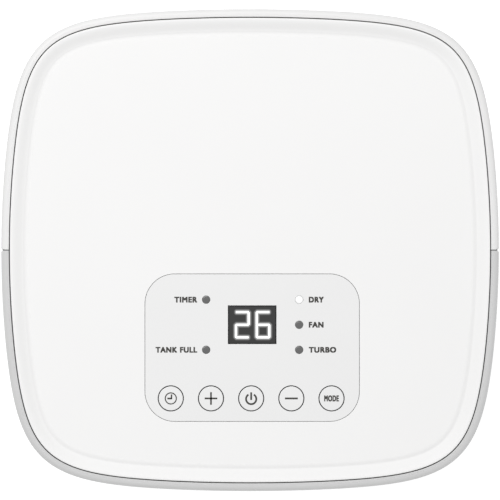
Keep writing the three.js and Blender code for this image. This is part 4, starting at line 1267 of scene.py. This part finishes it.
# A segment's middle, counted in those two reaches, and whether it stands upright.
SEGMENTS = {
    "top": (0, 2, False), "middle": (0, 0, False), "bottom": (0, -2, False),
    "upper_left": (-1, 1, True), "upper_right": (1, 1, True),
    "lower_left": (-1, -1, True), "lower_right": (1, -1, True),
}
TWO = ["top", "upper_right", "middle", "lower_left", "bottom"]
SIX = ["top", "upper_left", "middle", "lower_left", "lower_right", "bottom"]
lit = []
for side, digit in ((-1, TWO), (1, SIX)):
    digit_x = window_middle.x + DIGIT_SHIFT + side * DIGIT_PITCH / 2
    for segment in digit:
        across, up, upright = SEGMENTS[segment]
        spot = (digit_x + across * reach_x, window_middle.y + up * reach_y)
        lit.append((spot, reach_y if upright else reach_x, upright))


def segment_bar(spot, reach, upright):
    """A lit bar with cut-back corners at its ends."""
    half = Vector((STROKE / 2, reach) if upright else (reach, STROKE / 2))
    low = (spot[0] - half.x, spot[1] - half.y, window_high.z - 0.1 * MM)
    high = (spot[0] + half.x, spot[1] + half.y, window_high.z + 0.03 * MM)
    return rounded_block(low, high, STROKE * 0.42, axis=2, segments=3)


bars = gathered([segment_bar(*segment) for segment in lit])
finished("digit_segments", bars, lit_white, body=nodes["display_window"]["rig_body"])

# %% The smoked window and its glow
GLOW_REACH = 1.6 * MM
GLOW_FALL = 2.1
WINDOW_EDGE = 0.55 * MM


def smoked_window():
    """Smoked plastic that glows round the lit segments, with a darker edge."""
    finish = Finish("smoked_window")

    def vectors(operation, *values, output="Vector"):
        settings = {"operation": operation}
        return finish.start.node("ShaderNodeVectorMath", settings, dict(enumerate(values)), output)

    def distance(centre, half):
        """How far a point is outside a box round the centre, in X and Y."""
        folded = vectors("ABSOLUTE", vectors("SUBTRACT", finish.place, (centre[0], centre[1], 0)))
        beyond = vectors("SUBTRACT", folded, (half[0], half[1], 10))
        return vectors("LENGTH", vectors("MAXIMUM", beyond, (0, 0, 0)), output="Value")

    nearest = None
    for spot, reach, upright in lit:
        inner = reach - STROKE * 0.4
        half = (STROKE * 0.35, inner) if upright else (inner, STROKE * 0.35)
        gap = distance(spot, half)
        nearest = gap if nearest is None else nearest.maths("MINIMUM", nearest, gap)
    fade = nearest.maths("MAXIMUM", 1 - nearest / GLOW_REACH, 0) ** GLOW_FALL
    face = window_high - window_low
    inside = distance(window_middle, (face.x / 2 - WINDOW_EDGE, face.y / 2 - WINDOW_EDGE))
    at_edge = inside.maths("GREATER_THAN", inside, 0.0)
    depth = finish.noise(6 * MM, 2)
    return finish.end(
        Base_Color=finish.mixed(at_edge, grey(0.032), grey(0.008)),
        Roughness=0.16 + depth * 0.08,
        Emission_Color=finish.mixed(fade, grey(0.0), grey(1.0)),
        Emission_Strength=0.9,
    )


pane = block(window_low, window_high)
soften(pane, HAIR_ROUND, lies_at(window_high.z))
finished("window_pane", pane, smoked_window(), stands_for="display_window")
print("Lit segments:", len(lit))

# %% [markdown]
# ## The tank's front, its sight window and the grips
#
# The tank's fascia continues the casing's wall, so it is cut out of the same
# wall with a block a little smaller than the doorway. It has a rounded slot to
# put the fingers in and a narrow sight window. The carrying grips are cups
# behind openings in the sides.

# %% The fascia
GRIP_HALF = 33 * MM
GRIP_DROP = 29 * MM  # from the fascia's top to the slot
GRIP_HEIGHT = 21 * MM
GRIP_CORNER = 8 * MM
PANE_CORNER = 5.7 * MM
PANE_GAP = 0.2 * MM
SLOT_FROM = 50 * MM  # well inside the fascia
pane_low, pane_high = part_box("tank_window")
grip_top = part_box("tank_fascia")[1].z - GRIP_DROP


def front_slot(left, right, bottom, top, corner, segments=8):
    """A rounded block through the front of the tank."""
    low = (left, -CUT_TO, bottom)
    high = (right, -SLOT_FROM, top)
    return rounded_block(low, high, corner, axis=1, segments=segments)


def pane_slot(gap=0.0):
    edges = (pane_low.x - gap, pane_high.x + gap, pane_low.z - gap, pane_high.z + gap)
    return front_slot(*edges, PANE_CORNER + gap, segments=10)


def on_fascia(edge):
    return on_opening(edge) or all(vert.co.z < FOOT_HEIGHT + 8 * MM for vert in edge.verts)


fascia = carve(ring(wall_profile()), opening("tank_fascia", FASCIA_CORNER, 1, -1), "INTERSECT")
grip = front_slot(-GRIP_HALF, GRIP_HALF, grip_top - GRIP_HEIGHT, grip_top, GRIP_CORNER)
fascia = carve(fascia, gathered([grip, pane_slot(PANE_GAP)]))
soften(fascia, OPENING_ROUND, on_fascia)
finished("tank_front", fascia, finishes["casing_grey"], stands_for="tank_fascia")

# %% The sight window
PANE_SET_BACK = 0.5 * MM
sight_pane = band(PANE_SET_BACK, WALL, pane_low.z, pane_high.z)
sight_pane = carve(sight_pane, pane_slot(), "INTERSECT")
finished("sight_pane", sight_pane, finishes["tank_clear"], stands_for="tank_window")

# %% The carrying cups
POCKET_ROUND = 4 * MM
cup_back = WALL + 0.3 * MM  # the cups lie against the casing's inside
casing_inside = [(cup_back, cup_low.z - SPARE), (cup_back, cup_high.z + SPARE)]


def cup_block(node, side, inset):
    """A rounded block the size of a cup, moved in by an inset and open to the outside."""
    low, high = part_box(node)
    low, high = [low.x, low.y, low.z], [high.x, high.y, high.z]
    for i in range(3):
        low[i] += inset
        high[i] -= inset
    if side > 0:
        high[0] = CUT_TO
    else:
        low[0] = -CUT_TO
    bm = rounded_block(low, high, CUP_CORNER + CUP_WALL - inset, axis=0)
    return bm, Vector(low if side > 0 else high).x


for label, side in (("left", -1), ("right", 1)):
    node = f"handle_cup_{label}"
    outer, _ = cup_block(node, side, 0)
    pocket, floor_x = cup_block(node, side, CUP_WALL)
    soften(pocket, POCKET_ROUND, lies_at(floor_x, axis=0), segments=5)
    cup = carve(carve(slab(casing_inside), outer, "INTERSECT"), pocket)
    finished(f"grip_cup_{label}", cup, finishes["casing_white"], stands_for=node)

# %% [markdown]
# ## The inlet grille and the outlet louvre
#
# Air goes in through the back. The grille is a piece of the same curved wall,
# with rows of slanted slots, so it keeps the casing's line. Slots that slope
# down and out hide the filter from above and shed drips. The outlet's louvre in
# the right-hand side is made the same way.

# %% Slanted slots
def slanted_slot(centre, size, axis, slant):
    """A long slot with round ends, tilted about its own length."""
    width, height, depth = size
    if axis == 1:
        half = Vector((width / 2, depth / 2, height / 2))
        turn = Matrix.Rotation(math.radians(slant), 4, "X")
    else:
        half = Vector((depth / 2, width / 2, height / 2))
        turn = Matrix.Rotation(math.radians(-slant), 4, "Y")
    bm = rounded_block(-half, half, height * 0.48, axis=axis, segments=4)
    bmesh.ops.transform(bm, matrix=Matrix.Translation(centre) @ turn, verts=bm.verts)
    return bm


def slotted_wall(name, node, corner, axis, slots):
    """A piece of the curved wall that fills its opening, with slots cut through it."""
    low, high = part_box(node)
    wall = band(SLAT_SET_BACK, SLAT_DEPTH, low.z, high.z)
    wall = carve(wall, opening(node, corner, axis, 1), "INTERSECT")
    wall = carve(wall, gathered(slots))
    finished(name, wall, finishes["casing_white"], stands_for=node)


# %% The inlet grille
SLAT_SET_BACK = 0.3 * MM
SLAT_DEPTH = 5 * MM
SLOT_REACH = 26 * MM  # long enough to go through the wall at a slant
GRILLE_FRAME = 7 * MM
GRILLE_POST = 3 * MM
GRILLE_SLANT = 22
GRILLE_OPEN = 0.52  # the slot's share of a row
ROWS = 18
BAYS = 4
grille_low, grille_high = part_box("inlet_grille")
row_pitch = (grille_high.z - grille_low.z - 2 * GRILLE_FRAME) / ROWS
bay_pitch = (grille_high.x - grille_low.x - 2 * GRILLE_FRAME + GRILLE_POST) / BAYS
grille_slots = []
for row in range(ROWS):
    for bay in range(BAYS):
        slot_x = grille_low.x + GRILLE_FRAME - GRILLE_POST / 2 + bay_pitch * (bay + 0.5)
        slot_z = grille_low.z + GRILLE_FRAME + row_pitch * (row + 0.5)
        centre = Vector((slot_x, outline_depth(abs(slot_x), SLAT_DEPTH / 2), slot_z))
        size = (bay_pitch - GRILLE_POST - 0.4 * MM, row_pitch * GRILLE_OPEN, SLOT_REACH)
        grille_slots.append(slanted_slot(centre, size, 1, GRILLE_SLANT))
slotted_wall("grille_panel", "inlet_grille", GRILLE_CORNER, 1, grille_slots)
print("Grille slots:", ROWS * BAYS)

# %% The outlet louvre
LOUVRE_ROWS = 7
LOUVRE_FRAME = 4 * MM
LOUVRE_SLANT = 30
LOUVRE_OPEN = 0.62
louvre_low, louvre_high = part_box("outlet_louvre")
louvre_pitch = (louvre_high.z - louvre_low.z - 2 * LOUVRE_FRAME) / LOUVRE_ROWS
louvre_slots = []
for row in range(LOUVRE_ROWS):
    slot_z = louvre_low.z + LOUVRE_FRAME + louvre_pitch * (row + 0.5)
    centre = Vector((half_x - SLAT_DEPTH / 2, (louvre_low.y + louvre_high.y) / 2, slot_z))
    width = louvre_high.y - louvre_low.y - 2 * LOUVRE_FRAME
    size = (width, louvre_pitch * LOUVRE_OPEN, SLOT_REACH)
    louvre_slots.append(slanted_slot(centre, size, 0, LOUVRE_SLANT))
slotted_wall("louvre_panel", "outlet_louvre", LOUVRE_CORNER, 0, louvre_slots)

# %% [markdown]
# ## Feet and screws
#
# The feet are soft rubber pads with a rounded edge and a hollow for the screw
# that holds them. Cross-head screws hold the rear casing and the base. Both are
# turned shapes: the screw's head is spun, and its cross is cut with two bars.

# %% Rubber feet
foot_low, foot_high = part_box("foot_front_left")
foot_radius = (foot_high.x - foot_low.x) / 2
FOOT_ROUND = 2 * MM
FOOT_CHAMFER = 0.5 * MM
HOLLOW_RADIUS = 3.4 * MM
HOLLOW_DEPTH = 3 * MM


def foot_profile():
    hollow = foot_low.z + HOLLOW_DEPTH
    edge = arc((foot_radius - FOOT_ROUND, foot_low.z + FOOT_ROUND), FOOT_ROUND, -90, 0, 6)
    return [(0, hollow), (HOLLOW_RADIUS, hollow), (HOLLOW_RADIUS, foot_low.z)] + edge + [
        (foot_radius, foot_high.z - FOOT_CHAMFER), (foot_radius - FOOT_CHAMFER, foot_high.z),
        (0, foot_high.z)]


for label in ("front_left", "front_right", "rear_left", "rear_right"):
    at = middle_of(f"foot_{label}")
    pad = turned(foot_profile(), (at.x, at.y, 0), 40)
    finished(f"pad_{label}", pad, finishes["rubber"], stands_for=f"foot_{label}")

# %% Screws
SCREW_RADIUS = 3.4 * MM
SCREW_DOME = 1.5 * MM
SCREW_SINK = 1 * MM  # how far the head goes down into its seat
CROSS_LONG = 1.9 * MM
CROSS_WIDE = 0.5 * MM
CROSS_FLOOR = 0.7 * MM
SEAT_DEPTH = 1.2 * MM


def screw_head(place, outward):
    """A pan head with a cross recess, its face towards `outward`."""
    profile = [(0, -SCREW_SINK), (SCREW_RADIUS, -SCREW_SINK)]
    for i in range(6):
        turn = math.radians(90 * i / 6)
        profile.append((SCREW_RADIUS * math.cos(turn), SCREW_DOME * math.sin(turn)))
    head = turned(profile + [(0, SCREW_DOME)], steps=32)
    for x, y in ((CROSS_WIDE, CROSS_LONG), (CROSS_LONG, CROSS_WIDE)):
        head = carve(head, block((-x, -y, CROSS_FLOOR), (x, y, 2 * SCREW_DOME)))
    aim = outward.to_track_quat("Z", "Y").to_matrix().to_4x4()
    bmesh.ops.transform(head, matrix=Matrix.Translation(place) @ aim, verts=head.verts)
    return head


REAR_SCREW_X = 86 * MM
REAR_SCREW_ROWS = (62 * MM, 190 * MM)
BASE_SCREW_X = 60 * MM
BASE_SCREW_Y = 95 * MM
rear_screws = []
for x in (-REAR_SCREW_X, REAR_SCREW_X):
    depth = outline_depth(abs(x))
    slope = (outline_depth(abs(x) + 1 * MM) - depth) / (1 * MM)
    outward = Vector((-math.copysign(slope, x), 1, 0)).normalized()
    for z in REAR_SCREW_ROWS:
        rear_screws.append(screw_head(Vector((x, depth, z)) - outward * SEAT_DEPTH, outward))
finished("rear_screws", gathered(rear_screws), screw_steel, body=nodes["rear_casing"]["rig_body"])

base_screws = []
base_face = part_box("base_pan")[0].z + 0.2 * MM
for x in (-BASE_SCREW_X, BASE_SCREW_X):
    for y in (-BASE_SCREW_Y, BASE_SCREW_Y):
        base_screws.append(screw_head(Vector((x, y, base_face)), Vector((0, 0, -1))))
finished("base_screws", gathered(base_screws), screw_steel, body=nodes["base_pan"]["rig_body"])

# %% [markdown]
# ## The working parts
#
# The rest keeps the frame's own shape. A part that comes with hard edges is
# copied, its loose triangles are merged, flat areas are joined again, and the
# hard edges get a small round, because no moulded or pressed edge is knife
# sharp. The original stays hidden and keeps its job in the motion.

# %% Rounded copies
def rounded_copy(node, width):
    """A merged copy of a part with its hard edges rounded."""
    bm = bmesh.new()
    bm.from_mesh(nodes[node].data)
    bmesh.ops.remove_doubles(bm, verts=bm.verts, dist=0.005 * MM)
    bmesh.ops.dissolve_limit(bm, angle_limit=math.radians(0.5), verts=bm.verts, edges=bm.edges)
    return soften(bm, width, sharper_than=35, clamp=True)


slot_of = {
    "water_tank": "tank_clear", "tank_lid": "grey_plastic", "pour_flap": "grey_plastic",
    "tank_handle": "black_plastic", "tank_float": "float_white", "float_bracket": "grey_plastic",
    "tank_bay": "grey_plastic", "tank_switch": "black_plastic", "tank_switch_plunger": "float_white",
    "base_pan": "black_plastic", "cord_gland": "black_plastic", "drain_plug": "rubber",
    "drain_tray": "grey_plastic", "fan_scroll": "grey_plastic", "fan_impeller": "black_plastic",
    "fan_shaft": "zinc_steel", "fan_motor": "zinc_steel", "motor_bracket": "zinc_steel",
    "compressor": "compressor_black", "accumulator": "compressor_black",
    "compressor_grommet_1": "rubber", "compressor_grommet_2": "rubber", "compressor_grommet_3": "rubber",
    "run_capacitor": "grey_plastic", "discharge_pipe": "copper_tube", "suction_pipe": "copper_tube",
    "filter_drier": "copper_tube", "capillary_tube": "copper_tube",
    "evaporator": "coil_fins", "condenser": "coil_fins", "air_filter": "filter_mesh",
    "control_board": "circuit_board", "power_board": "circuit_board", "humidity_sensor": "circuit_board",
    "display_module": "display_black",
}
ROUNDS = {  # in mm
    "water_tank": 0.5, "tank_lid": 0.3, "pour_flap": 0.3, "tank_handle": 0.6, "tank_float": 1.0,
    "tank_bay": 0.3, "cord_gland": 0.4, "drain_plug": 0.4, "base_pan": 0.4,
}
for node, width in ROUNDS.items():
    finished(f"{node}_moulding", rounded_copy(node, width * MM), finishes[slot_of[node]],
             stands_for=node)

# %% A finish on every other part
for node, slot in slot_of.items():
    part = nodes[node]
    part.data.materials.clear()
    part.data.materials.append(finishes[slot])
shown = [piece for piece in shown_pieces() if "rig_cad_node" in piece]
unfinished = [part.name for part in shown if not part.data.materials]
print(len(made_pieces), "new pieces,", len(shown), "parts kept, without a finish:", unfinished)

# %% [markdown]
# ## The floor
#
# The floor is a wide matt sheet. Most of its white is light of its own, so that
# the surround stays even to its edges and takes only a faint shadow. It isn't
# part of the object.

# %% Floor
floor_finish = Finish("floor")
floor_cloud = floor_finish.noise(0.4, 2)
floor_look = floor_finish.end(
    Base_Color=floor_finish.mixed(floor_cloud, grey(0.52), grey(0.54)),
    Roughness=0.9,
    Emission_Color=grey(1.0),
    Emission_Strength=0.72,
)
floor_mesh = bmesh.new()
bmesh.ops.create_grid(floor_mesh, x_segments=1, y_segments=1, size=30)
sheet = bpy.data.meshes.new("floor")
floor_mesh.to_mesh(sheet)
floor_mesh.free()
sheet.materials.append(floor_look)
floor = bpy.data.objects.new("floor", sheet)
bpy.context.scene.collection.objects.link(floor)
